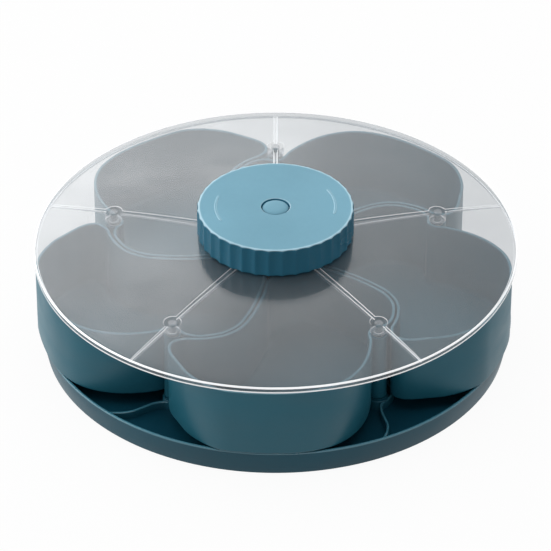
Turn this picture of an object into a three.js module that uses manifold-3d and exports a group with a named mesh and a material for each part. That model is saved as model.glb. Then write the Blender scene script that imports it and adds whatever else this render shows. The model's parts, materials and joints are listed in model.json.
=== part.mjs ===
// Chip and dip server: a round tray carries five comma-shaped bowls that swing out like petals.
// A clear ribbed lid covers them, and a fluted knob on the lid turns the bowls through gears.
// Millimetres, +Z up, origin on the table under the middle of the tray, front petal towards -Y.

import * as THREE from "three";
import { mergeVertices } from "three/addons/utils/BufferGeometryUtils.js";
import Module from "manifold-3d";

const wasm = await Module();
wasm.setup();

// Overall
const lidRadius = 150;
const seatGap = 0.3;
const runningGap = 0.6;
const embed = 0.5;
const cutOverrun = 1;
const petalNames = ["front", "right", "back_right", "back_left", "left"];
const sectorAngle = (2 * Math.PI) / petalNames.length;
const frontAngle = -Math.PI / 2;

// Facet counts
const bigFacets = 60;
const knobFacets = 40;
const smallFacets = 14;
const pinFacets = 10;

// Rubber feet and bottom cover
const footRadius = 6;
const footThickness = 1.6;
const footBevel = 0.4;
const footEdgeInset = 16;
const coverThickness = 1.9;
const coverScrewEdgeInset = 14;

// Small screws
const screwHeadRadius = 3;
const screwHeadThickness = 1;
const screwRadius = 1.5;
const coverScrewLength = 8;

// Tray
const trayInset = 2.7;
const trayFootRise = 1.5;
const trayHeight = 17.5;
const trayFlare = 3.3;
const trayRimWall = 2;
const trayFootWall = 1.8;
const trayFootRound = 1;
const trayRimRound = 0.5;
const trayFloorThickness = 2;
const trayFloorFillet = 1.6;
const pivotBossWall = 2.2;
const pivotBossHeight = 6.3;
const screwBossWall = 2.2;
const dividerThickness = 1.6;
const dividerHeight = 5.2;
const columnWall = 2.2;
const columnFillet = 2;

// The tray's S-shaped dividers: radius as a share of the pivot radius, angle from the pivot in degrees
const dividerPathShares = [
  [1.355, -9.2],
  [1.303, -6.8],
  [1.248, -5.1],
  [1.175, -4.0],
  [1.108, -2.8],
  [1.062, -0.8],
  [1.045, 2.4],
  [1.01, 6.0],
  [0.93, 8.2],
];
const dividerSteps = 10;

// Gears
const gearThickness = 4.6;
const sunTeeth = 50;
const pinionTeeth = 21;
const toothAddendumShare = 0.75;
const toothDedendumShare = 1.05;
const toothRootHalfShare = 1.06;
const toothTipHalfShare = 0.3;

// Pivots of the bowls
const postRadius = 2;
const postHeadRadius = 4.5;
const postHeadThickness = 1;
const postTip = 4.5;
const postTipBevel = 0.7;
const shaftWall = 1.4;
const shaftFlatDepth = 0.7;
const washerThickness = 0.8;
const washerWidth = 1.6;
const clipThickness = 1;
const clipWidth = 1.6;
const sleeveWall = 1.3;
const sleeveWebThickness = 6;
const sleeveWebReach = 15;
const sleeveWebAngle = Math.PI;

// Bowls
const petalInset = 2.8;
const petalRunClearance = 0.7;
const bowlHeight = 45.7;
const bowlWall = 1.9;
const bowlFloor = 2;
const bowlFilletShare = 0.01;
const bowlInnerFilletShare = 0.02;
const bowlDraft = 0.4;
const bowlFilletSteps = 2;
const bowlInnerFilletSteps = 1;
const petalGap = 1.2;
const pointsPerControl = 1.5;

// Bowl outline in plan, as shares of the petal reach, front petal, anticlockwise from its outer arc
const outerArcShares = [
  [-0.215, -0.9905],
  [-0.15, -1.0035],
  [-0.06, -1.0115],
  [0.03, -1.0125],
  [0.11, -1.0045],
  [0.182, -0.9855],
];
const rightLobeShares = [
  [0.2447, -0.957],
  [0.298, -0.9135],
  [0.344, -0.852],
  [0.3755, -0.782],
  [0.3935, -0.705],
  [0.399, -0.64],
  [0.3937, -0.587],
  [0.4094, -0.5579],
  [0.4419, -0.5487],
  [0.4796, -0.5068],
];
const seamShares = [
  [0.498, -0.4552],
  [0.498, -0.3804],
  [0.466, -0.3057],
  [0.4076, -0.2459],
  [0.3363, -0.1902],
  [0.2582, -0.1406],
  [0.1868, -0.1005],
];
const tipShares = [
  [0.1311, -0.0815],
  [0.0781, -0.091],
  [0.0285, -0.125],
];
const leftLobeShares = [
  [-0.3295, -0.623],
  [-0.372, -0.6215],
  [-0.408, -0.632],
  [-0.4335, -0.6535],
  [-0.4435, -0.69],
  [-0.4345, -0.735],
  [-0.4045, -0.798],
  [-0.366, -0.8695],
  [-0.3215, -0.921],
  [-0.27, -0.963],
];
const pivotRadiusShare = 0.7235;

// Lid
const lidRunClearance = 0.6;
const lidSkirtDepth = 4;
const lidSkirtWall = 1.6;
const lidWall = 2;
const domeRise = 10.2;
const domeSteps = 3;
const ribThickness = 2.2;
const ribHubDepth = 5.3;
const ribBossDepth = 2.3;
const ribRimDepth = 1.2;
const bossWall = 2.7;
const collarWall = 2.5;
const collarRise = 0.2;
const collarLength = 9;

// Knob
const knobRadius = 48.7;
const knobHeight = 18.9;
const knobRunClearance = 0.9;
const knobPlate = 3;
const knobWall = 2.6;
const knobTubeWall = 2;
const knobChamfer = 1;
const fluteCount = 36;
const fluteDepth = 1.1;
const pointsPerFlute = 3;
const markRadius = 37;
const markWidth = 1.6;
const markHeight = 0.3;
const markSpansDegrees = [
  [163, 204],
  [-12, 29],
];
const markSteps = 8;
const stemRadius = 8;
const stemFlangeRadius = 19.5;
const stemFlangeThickness = 2;
const bushingWall = 1.2;
const bushingFlangeWidth = 2;
const bushingFlangeThickness = 1;
const stemClipWidth = 3.5;
const stemClipThickness = 1;
const knobScrewCircle = 15.5;
const knobScrewCount = 3;
const knobScrewRadius = 1.3;
const knobScrewHeadRadius = 2.6;
const knobScrewHeadThickness = 0.7;
const knobScrewLength = 8;
const knobScrewBossWall = 2;

// Button and spring
const buttonRadius = 8.5;
const buttonGroove = 0.4;
const buttonCrown = 0.6;
const buttonCrownShares = [
  [0.8, 0.5],
  [0.4, 0.9],
  [0, 1],
];
const buttonRecess = 0.3;
const buttonLip = 1.3;
const buttonLipThickness = 2;
const springRadius = 6.2;
const springWire = 1.2;

// Drive spindle
const spindleRadius = 8.7;
const hexRadius = 5.4;
const hexGap = 0.4;
const hexPegLength = 10.4;
const hexSocketDepth = 12;
const columnHeight = 38.3;
const spindleRise = 12.2;

// Heights, from the table up
const coverBottom = footThickness + seatGap;
const coverTop = coverBottom + coverThickness;
const gearBottom = coverTop + seatGap;
const gearTop = gearBottom + gearThickness;
const trayFloorBottom = gearTop + runningGap;
const trayFloorTop = trayFloorBottom + trayFloorThickness;
const trayRimTop = trayFootRise + trayHeight;
const pivotBossTop = trayFloorTop + pivotBossHeight;
const washerBottom = pivotBossTop + seatGap;
const sleeveBottom = washerBottom + washerThickness + seatGap;
const bowlBottom = trayRimTop + petalRunClearance;
const bowlRim = bowlBottom + bowlHeight;
const lidBottom = bowlRim + lidRunClearance;
const sleeveTop = lidBottom - 2 * seatGap - clipThickness;
const clipBottom = sleeveTop + seatGap;
const lidRimTop = lidBottom + lidSkirtDepth;
const lidApex = lidRimTop + domeRise;
const collarTop = lidApex + collarRise;
const collarBottom = collarTop - collarLength;
const bushingFlangeBottom = collarTop + seatGap;
const stemFlangeBottom = bushingFlangeBottom + bushingFlangeThickness + seatGap;
const stemFlangeTop = stemFlangeBottom + stemFlangeThickness;
const knobTubeBottom = stemFlangeTop + seatGap;
const columnTop = trayFloorTop + columnHeight;
const spindleTop = columnTop + spindleRise;
const stemShaftBottom = spindleTop + seatGap;

// Radii
const petalReach = lidRadius - petalInset;
const bowlFillet = bowlFilletShare * lidRadius;
const bowlInnerFillet = bowlInnerFilletShare * lidRadius;
const pivotRadius = pivotRadiusShare * petalReach;
const toothModule = (2 * pivotRadius) / (sunTeeth + pinionTeeth);
const trayRimRadius = lidRadius - trayInset;
const trayFootRadius = trayRimRadius - trayFlare;
const chamberRadius = trayFootRadius - trayFootWall;
const coverRadius = chamberRadius - seatGap;
const coverScrewCircle = trayFootRadius - coverScrewEdgeInset;
const postHoleRadius = postRadius + seatGap;
const shaftRadius = postHoleRadius + shaftWall;
const shaftHoleRadius = shaftRadius + runningGap;
const pivotBossRadius = shaftHoleRadius + pivotBossWall;
const sleeveBoreRadius = shaftRadius + seatGap;
const sleeveRadius = sleeveBoreRadius + sleeveWall;
const lidSkirtInner = lidRadius - lidSkirtWall;
const bossBoreRadius = postRadius + runningGap;
const bossRadius = bossBoreRadius + bossWall;
const bushingBore = stemRadius + seatGap;
const bushingRadius = bushingBore + bushingWall;
const collarBore = bushingRadius + seatGap;
const collarRadius = collarBore + collarWall;
const columnBore = spindleRadius + runningGap;
const columnRadius = columnBore + columnWall;
const buttonHoleRadius = buttonRadius + buttonGroove;
const buttonLipRadius = buttonRadius + buttonLip;
const knobTubeBore = buttonLipRadius + seatGap;
const knobTubeRadius = knobTubeBore + knobTubeWall;
const knobBottom = domeTop(knobRadius) + knobRunClearance;
const knobTop = knobBottom + knobHeight;
const knobCeiling = knobTop - knobPlate;
const knobBoreRadius = knobRadius - fluteDepth - knobWall;

// Height of the lid's outer surface at a radius
function domeTop(radius) {
  return lidRimTop + domeRise * (1 - (radius / lidRadius) ** 2);
}

// Angle of the front petal's middle, turned by whole sectors
function petalAngle(index) {
  return frontAngle + index * sectorAngle;
}

// Angle of a petal's pivot, half a sector on from its middle
function pivotAngle(index) {
  return petalAngle(index) + sectorAngle / 2;
}

// Closed solid of a geometry, with shared corners merged and empty triangles dropped
function solid(geometry) {
  const bare = geometry.clone();
  bare.deleteAttribute("normal");
  bare.deleteAttribute("uv");
  const merged = mergeVertices(bare);
  const index = merged.index.array;
  const kept = [];
  for (let i = 0; i < index.length; i += 3) {
    const [a, b, c] = [index[i], index[i + 1], index[i + 2]];
    if (a !== b && b !== c && c !== a) kept.push(a, b, c);
  }
  const vertProperties = new Float32Array(merged.attributes.position.array);
  return new wasm.Manifold(new wasm.Mesh({ numProp: 3, vertProperties, triVerts: new Uint32Array(kept) }));
}

// Geometry of a solid
function geometryOf(body) {
  const mesh = body.getMesh();
  const geometry = new THREE.BufferGeometry();
  geometry.setAttribute("position", new THREE.BufferAttribute(new Float32Array(mesh.vertProperties), 3));
  geometry.setIndex(new THREE.BufferAttribute(new Uint32Array(mesh.triVerts), 1));
  const flat = geometry.toNonIndexed();
  flat.computeVertexNormals();
  return flat;
}

// Solid of revolution about Z from [radius, height] pairs that run anticlockwise
function turned(profile, facets) {
  const points = profile.map(([radius, height]) => new THREE.Vector2(radius, height));
  if (profile[0][0] > 0) points.push(points[0].clone());
  return solid(new THREE.LatheGeometry(points, facets).rotateX(Math.PI / 2));
}

// Upright cylinder on the Z axis
function cylinder(radius, bottom, top, facets) {
  return turned([[0, bottom], [radius, bottom], [radius, top], [0, top]], facets);
}

// Upright tube on the Z axis
function tube(bore, radius, bottom, top, facets) {
  return turned([[bore, bottom], [radius, bottom], [radius, top], [bore, top]], facets);
}

// Prism of a plan outline between two heights
function prism(points, bottom, top) {
  const shape = new THREE.Shape(points);
  const extruded = new THREE.ExtrudeGeometry(shape, { depth: top - bottom, bevelEnabled: false });
  return solid(extruded.translate(0, 0, bottom));
}

// Solid skinned over plan outlines of equal length, from the lowest up
function lofted(sections) {
  const count = sections[0].points.length;
  const positions = sections.flatMap(({ points, z }) => points.flatMap((p) => [p.x, p.y, z]));
  const index = [];
  for (let level = 0; level + 1 < sections.length; level += 1) {
    for (let i = 0; i < count; i += 1) {
      const next = (i + 1) % count;
      const [a, b] = [level * count + i, level * count + next];
      const [c, d] = [a + count, b + count];
      index.push(a, b, d, a, d, c);
    }
  }
  const last = (sections.length - 1) * count;
  const lowCap = THREE.ShapeUtils.triangulateShape(sections[0].points, []);
  const highCap = THREE.ShapeUtils.triangulateShape(sections.at(-1).points, []);
  for (const [a, b, c] of lowCap) index.push(a, c, b);
  for (const [a, b, c] of highCap) index.push(last + a, last + b, last + c);
  const geometry = new THREE.BufferGeometry();
  geometry.setAttribute("position", new THREE.Float32BufferAttribute(positions, 3));
  geometry.setIndex(index);
  return solid(geometry);
}

// Solids joined into one
function joined(solids) {
  return solids.reduce((sum, next) => sum.add(next));
}

// Solid moved out along an angle in plan
function movedOut(body, radius, angle) {
  return body.translate([radius * Math.cos(angle), radius * Math.sin(angle), 0]);
}

// Copies of a solid moved out to each of the given angles
function ringOf(body, radius, angles) {
  return joined(angles.map((angle) => movedOut(body, radius, angle)));
}

// Plan point at a radius and an angle
function polar(radius, angle) {
  return new THREE.Vector2(radius * Math.cos(angle), radius * Math.sin(angle));
}

const petalAngles = petalNames.map((name, index) => petalAngle(index));
const pivotAngles = petalNames.map((name, index) => pivotAngle(index));

// Materials
const looks = {
  bowl: { color: 0x5c8597, roughness: 0.32, metalness: 0 },
  tray: { color: 0x507584, roughness: 0.4, metalness: 0 },
  clear: { color: 0xe6edf0, roughness: 0.08, metalness: 0, transparent: true, opacity: 0.35 },
  knob: { color: 0x73a7bb, roughness: 0.35, metalness: 0 },
  gear: { color: 0xd8d4c6, roughness: 0.5, metalness: 0 },
  rubber: { color: 0x202224, roughness: 0.9, metalness: 0 },
  steel: { color: 0xa8acb0, roughness: 0.3, metalness: 1 },
};

// Named mesh of a solid with a look of its own
function piece(name, body, look) {
  const mesh = new THREE.Mesh(geometryOf(body), new THREE.MeshStandardMaterial(looks[look]));
  mesh.name = name;
  return mesh;
}

// Mesh moved out from the axis along an angle in plan
function placed(mesh, radius, angle) {
  mesh.position.set(radius * Math.cos(angle), radius * Math.sin(angle), 0);
  return mesh;
}

// Screw standing head down, its head's top face at the given height
function screw(headTop, headRadius, headThickness, radius, length, facets) {
  const headBottom = headTop - headThickness;
  const profile = [[0, headBottom], [headRadius, headBottom], [headRadius, headTop]];
  profile.push([radius, headTop], [radius, headTop + length], [0, headTop + length]);
  return turned(profile, facets);
}

// Feet, cover and cover screws
const footCircle = trayFootRadius - footEdgeInset;

function foot() {
  const waist = footRadius - footBevel;
  const profile = [
    [0, 0],
    [waist, 0],
    [footRadius, footBevel],
    [footRadius, footThickness],
    [0, footThickness],
  ];
  return turned(profile, smallFacets);
}

function bottomCover() {
  const disc = cylinder(coverRadius, coverBottom, coverTop, bigFacets);
  const low = coverBottom - cutOverrun;
  const high = coverTop + cutOverrun;
  const postHole = cylinder(postHoleRadius, low, high, pinFacets);
  const screwHole = cylinder(screwRadius + seatGap, low, high, pinFacets);
  const postHoles = ringOf(postHole, pivotRadius, pivotAngles);
  const screwHoles = ringOf(screwHole, coverScrewCircle, petalAngles);
  return disc.subtract(postHoles).subtract(screwHoles);
}

function coverScrew() {
  const headTop = coverBottom - seatGap;
  return screw(headTop, screwHeadRadius, screwHeadThickness, screwRadius, coverScrewLength, pinFacets);
}

// Tray: turned shell with column, pivot bosses, screw bosses and dividers
function trayShell() {
  const floorRadius = trayRimRadius - trayRimWall - trayFlare * ((trayRimTop - trayFloorTop) / trayHeight);
  const profile = [
    [chamberRadius, trayFootRise],
    [trayFootRadius - trayFootRound, trayFootRise],
    [trayFootRadius, trayFootRise + trayFootRound],
    [trayRimRadius, trayRimTop - trayRimRound],
    [trayRimRadius - trayRimRound, trayRimTop],
    [trayRimRadius - trayRimWall + trayRimRound, trayRimTop],
    [trayRimRadius - trayRimWall, trayRimTop - trayRimRound],
    [floorRadius, trayFloorTop + trayFloorFillet],
    [floorRadius - trayFloorFillet, trayFloorTop],
    [columnRadius + columnFillet, trayFloorTop],
    [columnRadius, trayFloorTop + columnFillet],
    [columnRadius, columnTop],
    [columnBore, columnTop],
    [columnBore, trayFloorBottom],
    [chamberRadius, trayFloorBottom],
  ];
  return turned(profile, bigFacets);
}

// Smooth curve through plan points
function smoothCurve(points, closed) {
  const inSpace = points.map((p) => new THREE.Vector3(p.x, p.y, 0));
  return new THREE.CatmullRomCurve3(inSpace, closed, "centripetal");
}

// Plan outline of a ribbon of one thickness along a smooth path
function ribbon(path, thickness, steps) {
  const curve = smoothCurve(path, false);
  const sides = [[], []];
  for (let step = 0; step <= steps; step += 1) {
    const at = curve.getPointAt(step / steps);
    const along = curve.getTangentAt(step / steps);
    const across = new THREE.Vector2(along.y, -along.x).multiplyScalar(thickness / 2);
    sides[0].push(new THREE.Vector2(at.x, at.y).add(across));
    sides[1].unshift(new THREE.Vector2(at.x, at.y).sub(across));
  }
  return [...sides[0], ...sides[1]];
}

function divider(index) {
  const path = dividerPathShares.map(([share, degrees]) =>
    polar(share * pivotRadius, pivotAngles[index] + THREE.MathUtils.degToRad(degrees)));
  const outline = ribbon(path, dividerThickness, dividerSteps);
  return prism(outline, trayFloorTop - embed, trayFloorTop + dividerHeight);
}

function baseTray() {
  const holeBottom = trayFloorBottom - cutOverrun;
  const pivotBoss = cylinder(pivotBossRadius, trayFloorTop - embed, pivotBossTop, smallFacets);
  const pivotHole = cylinder(shaftHoleRadius, holeBottom, pivotBossTop + cutOverrun, smallFacets);
  const screwBore = screwRadius + seatGap;
  const screwBossRadius = screwBore + screwBossWall;
  const screwBoss = cylinder(screwBossRadius, coverTop + seatGap, trayFloorBottom + embed, smallFacets);
  const screwHole = cylinder(screwBore, coverTop, coverBottom + coverScrewLength + seatGap, pinFacets);
  const added = [
    trayShell(),
    ...petalNames.map((name, index) => divider(index)),
    ringOf(pivotBoss, pivotRadius, pivotAngles),
    ringOf(screwBoss, coverScrewCircle, petalAngles),
  ];
  const pivotHoles = ringOf(pivotHole, pivotRadius, pivotAngles);
  const screwHoles = ringOf(screwHole, coverScrewCircle, petalAngles);
  return joined(added).subtract(pivotHoles).subtract(screwHoles);
}

// Pivot hardware, each piece on its own upright axis
function pivotPost() {
  const headTop = coverBottom - seatGap;
  const tip = lidBottom + postTip;
  const profile = [
    [0, headTop - postHeadThickness],
    [postHeadRadius, headTop - postHeadThickness],
    [postHeadRadius, headTop],
    [postRadius, headTop],
    [postRadius, tip - postTipBevel],
    [postRadius - postTipBevel, tip],
    [0, tip],
  ];
  return turned(profile, pinFacets);
}

function pivotWasher() {
  const radius = shaftHoleRadius + washerWidth;
  return tube(shaftHoleRadius, radius, washerBottom, washerBottom + washerThickness, smallFacets);
}

function petalClip() {
  const top = clipBottom + clipThickness;
  return tube(postHoleRadius, postHoleRadius + clipWidth, clipBottom, top, smallFacets);
}

// Plan outline of a gear with straight-sided teeth, one tooth centred on the given angle
function gearOutline(teeth, toothAngle) {
  const pitchRadius = (toothModule * teeth) / 2;
  const root = pitchRadius - toothDedendumShare * toothModule;
  const tip = pitchRadius + toothAddendumShare * toothModule;
  const rootHalf = (toothRootHalfShare * toothModule) / pitchRadius;
  const tipHalf = (toothTipHalfShare * toothModule) / pitchRadius;
  const points = [];
  for (let tooth = 0; tooth < teeth; tooth += 1) {
    const middle = toothAngle + (tooth * 2 * Math.PI) / teeth;
    points.push(polar(root, middle - rootHalf), polar(tip, middle - tipHalf));
    points.push(polar(tip, middle + tipHalf), polar(root, middle + rootHalf));
  }
  return points;
}

// Shaft or bore with one flat that keys a bowl to its gear
function keyed(body, radius, bottom, top, flatAngle) {
  const block = new THREE.BoxGeometry(radius, 2 * radius, top - bottom);
  block.translate(radius - shaftFlatDepth + radius / 2, 0, (bottom + top) / 2).rotateZ(flatAngle);
  return body.subtract(solid(block));
}

function pinion(index) {
  const facing = pivotAngles[index] + Math.PI;
  const gear = prism(gearOutline(pinionTeeth, facing + Math.PI / pinionTeeth), gearBottom, gearTop);
  const shaft = cylinder(shaftRadius, gearTop - embed, sleeveTop, smallFacets);
  const flatBottom = sleeveBottom - cutOverrun / 2;
  const keyedShaft = keyed(shaft, shaftRadius, flatBottom, sleeveTop + cutOverrun, pivotAngles[index]);
  const bore = cylinder(postHoleRadius, gearBottom - cutOverrun, sleeveTop + cutOverrun, pinFacets);
  return gear.add(keyedShaft).subtract(bore);
}

function sunGear() {
  const boreRadius = spindleRadius + seatGap;
  const bore = cylinder(boreRadius, gearBottom - cutOverrun, gearTop + cutOverrun, smallFacets * 2);
  return prism(gearOutline(sunTeeth, pivotAngles[0]), gearBottom, gearTop).subtract(bore);
}

function hexagon(radius, bottom, top) {
  return cylinder(radius, bottom, top, 6);
}

function driveSpindle() {
  const shaft = cylinder(spindleRadius, gearBottom, spindleTop, smallFacets * 2);
  return shaft.subtract(hexagon(hexRadius + hexGap, spindleTop - hexSocketDepth, spindleTop + cutOverrun));
}

// Unit normals of an open chain of plan points, to the right of its direction
function normalsOf(points) {
  return points.map((p, i) => {
    const before = points[Math.max(i - 1, 0)];
    const after = points[Math.min(i + 1, points.length - 1)];
    const along = after.clone().sub(before).normalize();
    return new THREE.Vector2(along.y, -along.x);
  });
}

function scaledPoints(shares) {
  return shares.map(([x, y]) => new THREE.Vector2(x, y).multiplyScalar(petalReach));
}

// Rim outline of the front bowl; its inner sides are one seam line moved apart by the petal gap
function bowlOutline() {
  const origin = new THREE.Vector2();
  const seam = scaledPoints(seamShares);
  const normals = normalsOf(seam);
  const right = seam.map((p, i) => p.clone().addScaledVector(normals[i], -petalGap / 2));
  const nextLeft = seam.map((p, i) => p.clone().addScaledVector(normals[i], petalGap / 2));
  const left = nextLeft.map((p) => p.rotateAround(origin, -sectorAngle));
  const controls = [
    ...scaledPoints(outerArcShares),
    ...scaledPoints(rightLobeShares),
    ...right,
    ...scaledPoints(tipShares),
    ...left.reverse(),
    ...scaledPoints(leftLobeShares),
  ];
  const curve = smoothCurve(controls, true);
  const points = curve.getPoints(controls.length * pointsPerControl).slice(0, -1);
  return points.map((p) => new THREE.Vector2(p.x, p.y));
}

// Closed outline moved inwards by a distance, corners mitred
function inset(points, distance) {
  const count = points.length;
  return points.map((p, i) => {
    const inwards = [points[(i + count - 1) % count], points[(i + 1) % count]].map((other, side) => {
      const along = side === 0 ? p.clone().sub(other) : other.clone().sub(p);
      return new THREE.Vector2(-along.y, along.x).normalize();
    });
    const middle = inwards[0].clone().add(inwards[1]).normalize();
    return p.clone().addScaledVector(middle, distance / middle.dot(inwards[0]));
  });
}

// Bowl-shaped solid: drafted walls over a rounded bottom edge
function bowlBody(outline, wall, bottom, fillet, steps, top) {
  const draft = (z) => (bowlDraft * (bowlRim - z)) / bowlHeight;
  const sections = [];
  for (let step = 0; step <= steps; step += 1) {
    const turn = ((Math.PI / 2) * step) / steps;
    const z = bottom + fillet * (1 - Math.cos(turn));
    sections.push({ points: inset(outline, wall + draft(z) + fillet * (1 - Math.sin(turn))), z });
  }
  sections.push({ points: inset(outline, wall + draft(top)), z: top });
  return lofted(sections);
}

function frontBowl() {
  const outline = bowlOutline();
  const pivot = polar(pivotRadius, pivotAngles[0]);
  const outside = bowlBody(outline, 0, bowlBottom, bowlFillet, bowlFilletSteps, bowlRim);
  const cavityTop = bowlRim + cutOverrun;
  const floor = bowlBottom + bowlFloor;
  const cavity = bowlBody(outline, bowlWall, floor, bowlInnerFillet, bowlInnerFilletSteps, cavityTop);
  const sleeve = cylinder(sleeveRadius, sleeveBottom, sleeveTop, smallFacets);
  const webShape = new THREE.BoxGeometry(sleeveWebReach, sleeveWebThickness, sleeveTop - bowlBottom);
  webShape.translate(sleeveWebReach / 2, 0, (sleeveTop + bowlBottom) / 2).rotateZ(sleeveWebAngle);
  const boreTop = sleeveTop + cutOverrun;
  const bore = cylinder(sleeveBoreRadius, sleeveBottom - cutOverrun, boreTop, smallFacets);
  const boreBottom = sleeveBottom - 2 * cutOverrun;
  const keyedBore = keyed(bore, sleeveBoreRadius, boreBottom, boreTop + cutOverrun, pivotAngles[0]);
  const joint = sleeve.add(solid(webShape)).translate([pivot.x, pivot.y, 0]);
  return outside.add(joint).subtract(cavity).subtract(keyedBore.translate([pivot.x, pivot.y, 0]));
}

// Lid: shallow dome with skirt and collar, five tapered ribs and five hollow bosses
function lidShell() {
  const radii = [];
  for (let step = 0; step < domeSteps; step += 1) {
    radii.push(lidSkirtInner + ((collarRadius - lidSkirtInner) * step) / domeSteps);
  }
  const outer = radii.map((radius) => [radius, domeTop(radius)]);
  const inner = radii.map((radius) => [radius, domeTop(radius) - lidWall]).reverse();
  const profile = [
    [lidRadius, lidBottom],
    [lidRadius, lidRimTop],
    ...outer,
    [collarRadius, collarTop],
    [collarBore, collarTop],
    [collarBore, collarBottom],
    [collarRadius, collarBottom],
    [collarRadius, domeTop(collarRadius) - lidWall],
    ...inner,
    [lidSkirtInner, lidBottom],
  ];
  return turned(profile, bigFacets);
}

// Rib along +X under the dome, deepest at the collar
function lidRib() {
  const stations = [
    [collarRadius - collarWall / 2, ribHubDepth],
    [knobRadius, (ribHubDepth + ribBossDepth) / 2],
    [pivotRadius, ribBossDepth],
    [lidSkirtInner + lidSkirtWall / 2, ribRimDepth],
  ];
  const point = (radius, below) => new THREE.Vector2(radius, domeTop(radius) - below);
  const lower = stations.map(([radius, depth]) => point(radius, lidWall + depth));
  const upper = stations.map(([radius]) => point(radius, lidWall / 2)).reverse();
  const side = new THREE.Shape([...lower, ...upper]);
  const plate = new THREE.ExtrudeGeometry(side, { depth: ribThickness, bevelEnabled: false });
  return plate.translate(0, 0, -ribThickness / 2).rotateX(Math.PI / 2);
}

function lid() {
  const ribs = pivotAngles.map((angle) => solid(lidRib().rotateZ(angle)));
  const underside = domeTop(pivotRadius) - lidWall;
  const boss = cylinder(bossRadius, lidBottom, underside + embed, smallFacets);
  const bore = cylinder(bossBoreRadius, lidBottom - cutOverrun, underside - embed, pinFacets);
  const bosses = ringOf(boss, pivotRadius, pivotAngles);
  return joined([lidShell(), ...ribs, bosses]).subtract(ringOf(bore, pivotRadius, pivotAngles));
}

function lidBushing() {
  const flangeRadius = bushingRadius + bushingFlangeWidth;
  const profile = [
    [bushingBore, collarBottom + seatGap],
    [bushingRadius, collarBottom + seatGap],
    [bushingRadius, bushingFlangeBottom],
    [flangeRadius, bushingFlangeBottom],
    [flangeRadius, bushingFlangeBottom + bushingFlangeThickness],
    [bushingBore, bushingFlangeBottom + bushingFlangeThickness],
  ];
  return turned(profile, knobFacets / 2);
}

// Knob grip: fluted cap, open underneath, with a tube for the button and bosses for its screws
function fluted(radius) {
  const count = fluteCount * pointsPerFlute;
  const firstRidge = Math.PI / fluteCount;
  const points = [];
  for (let i = 0; i < count; i += 1) {
    const wave = (1 - Math.cos((2 * Math.PI * i) / pointsPerFlute)) / 2;
    points.push(polar(radius - fluteDepth * wave, firstRidge + (2 * Math.PI * i) / count));
  }
  return points;
}

function topMark([from, to]) {
  const [outer, inner] = [[], []];
  for (let step = 0; step <= markSteps; step += 1) {
    const angle = THREE.MathUtils.degToRad(from + ((to - from) * step) / markSteps);
    outer.push(polar(markRadius + markWidth / 2, angle));
    inner.unshift(polar(markRadius - markWidth / 2, angle));
  }
  return prism([...outer, ...inner], knobTop - embed, knobTop + markHeight);
}

const knobScrewStep = (2 * Math.PI) / knobScrewCount;
const knobScrewAngles = Array.from({ length: knobScrewCount }, (_, i) => frontAngle + knobScrewStep * i);

function knobGrip() {
  const cap = lofted([
    { points: fluted(knobRadius), z: knobBottom },
    { points: fluted(knobRadius), z: knobTop - knobChamfer },
    { points: fluted(knobRadius - knobChamfer), z: knobTop },
  ]);
  const hollow = turned([
    [0, knobBottom - cutOverrun],
    [knobBoreRadius, knobBottom - cutOverrun],
    [knobBoreRadius, knobCeiling],
    [knobTubeRadius, knobCeiling],
    [knobTubeRadius, knobTubeBottom],
    [knobTubeBore, knobTubeBottom],
    [knobTubeBore, knobCeiling],
    [buttonHoleRadius, knobCeiling],
    [buttonHoleRadius, knobTop + cutOverrun],
    [0, knobTop + cutOverrun],
  ], knobFacets);
  const screwBore = knobScrewRadius + seatGap;
  const boss = cylinder(screwBore + knobScrewBossWall, knobTubeBottom, knobCeiling + embed, pinFacets);
  const boreTop = stemFlangeBottom + knobScrewLength + seatGap;
  const bore = cylinder(screwBore, knobTubeBottom - cutOverrun, boreTop, pinFacets);
  const keptOut = cylinder(knobTubeBore + knobTubeWall / 2, knobBottom, knobCeiling, knobFacets);
  const bossRing = ringOf(boss, knobScrewCircle, knobScrewAngles).subtract(keptOut);
  const body = joined([cap.subtract(hollow), bossRing, ...markSpansDegrees.map(topMark)]);
  return body.subtract(ringOf(bore, knobScrewCircle, knobScrewAngles));
}

function knobStem() {
  const shaft = cylinder(stemRadius, stemShaftBottom, stemFlangeTop - embed, knobFacets / 2);
  const flange = cylinder(stemFlangeRadius, stemFlangeBottom, stemFlangeTop, knobFacets);
  const peg = hexagon(hexRadius, stemShaftBottom - hexPegLength, stemShaftBottom + embed);
  const low = stemFlangeBottom - cutOverrun;
  const hole = cylinder(knobScrewRadius + seatGap, low, stemFlangeTop + cutOverrun, pinFacets);
  return joined([shaft, flange, peg]).subtract(ringOf(hole, knobScrewCircle, knobScrewAngles));
}

function knobScrew() {
  const headTop = stemFlangeBottom - seatGap;
  const thickness = knobScrewHeadThickness;
  return screw(headTop, knobScrewHeadRadius, thickness, knobScrewRadius, knobScrewLength, pinFacets);
}

function stemClip() {
  const top = collarBottom - seatGap;
  return tube(bushingBore, bushingBore + stemClipWidth, top - stemClipThickness, top, knobFacets / 2);
}

const buttonLipTop = knobCeiling - seatGap;
const buttonBottom = buttonLipTop - buttonLipThickness;

function knobButton() {
  const edge = knobTop - buttonRecess;
  const profile = [
    [0, buttonBottom],
    [buttonLipRadius, buttonBottom],
    [buttonLipRadius, buttonLipTop],
    [buttonRadius, buttonLipTop],
    [buttonRadius, edge],
    ...buttonCrownShares.map(([out, up]) => [buttonRadius * out, edge + buttonCrown * up]),
  ];
  return turned(profile, knobFacets / 2);
}

function buttonSpring() {
  const springFoot = stemFlangeTop + seatGap;
  return tube(springRadius - springWire, springRadius, springFoot, buttonBottom - seatGap, smallFacets);
}

// Assembly
const server = new THREE.Group();

const base = new THREE.Group();
base.add(piece("base_tray", baseTray(), "tray"));
base.add(piece("bottom_cover", bottomCover(), "tray"));
server.add(base);

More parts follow.
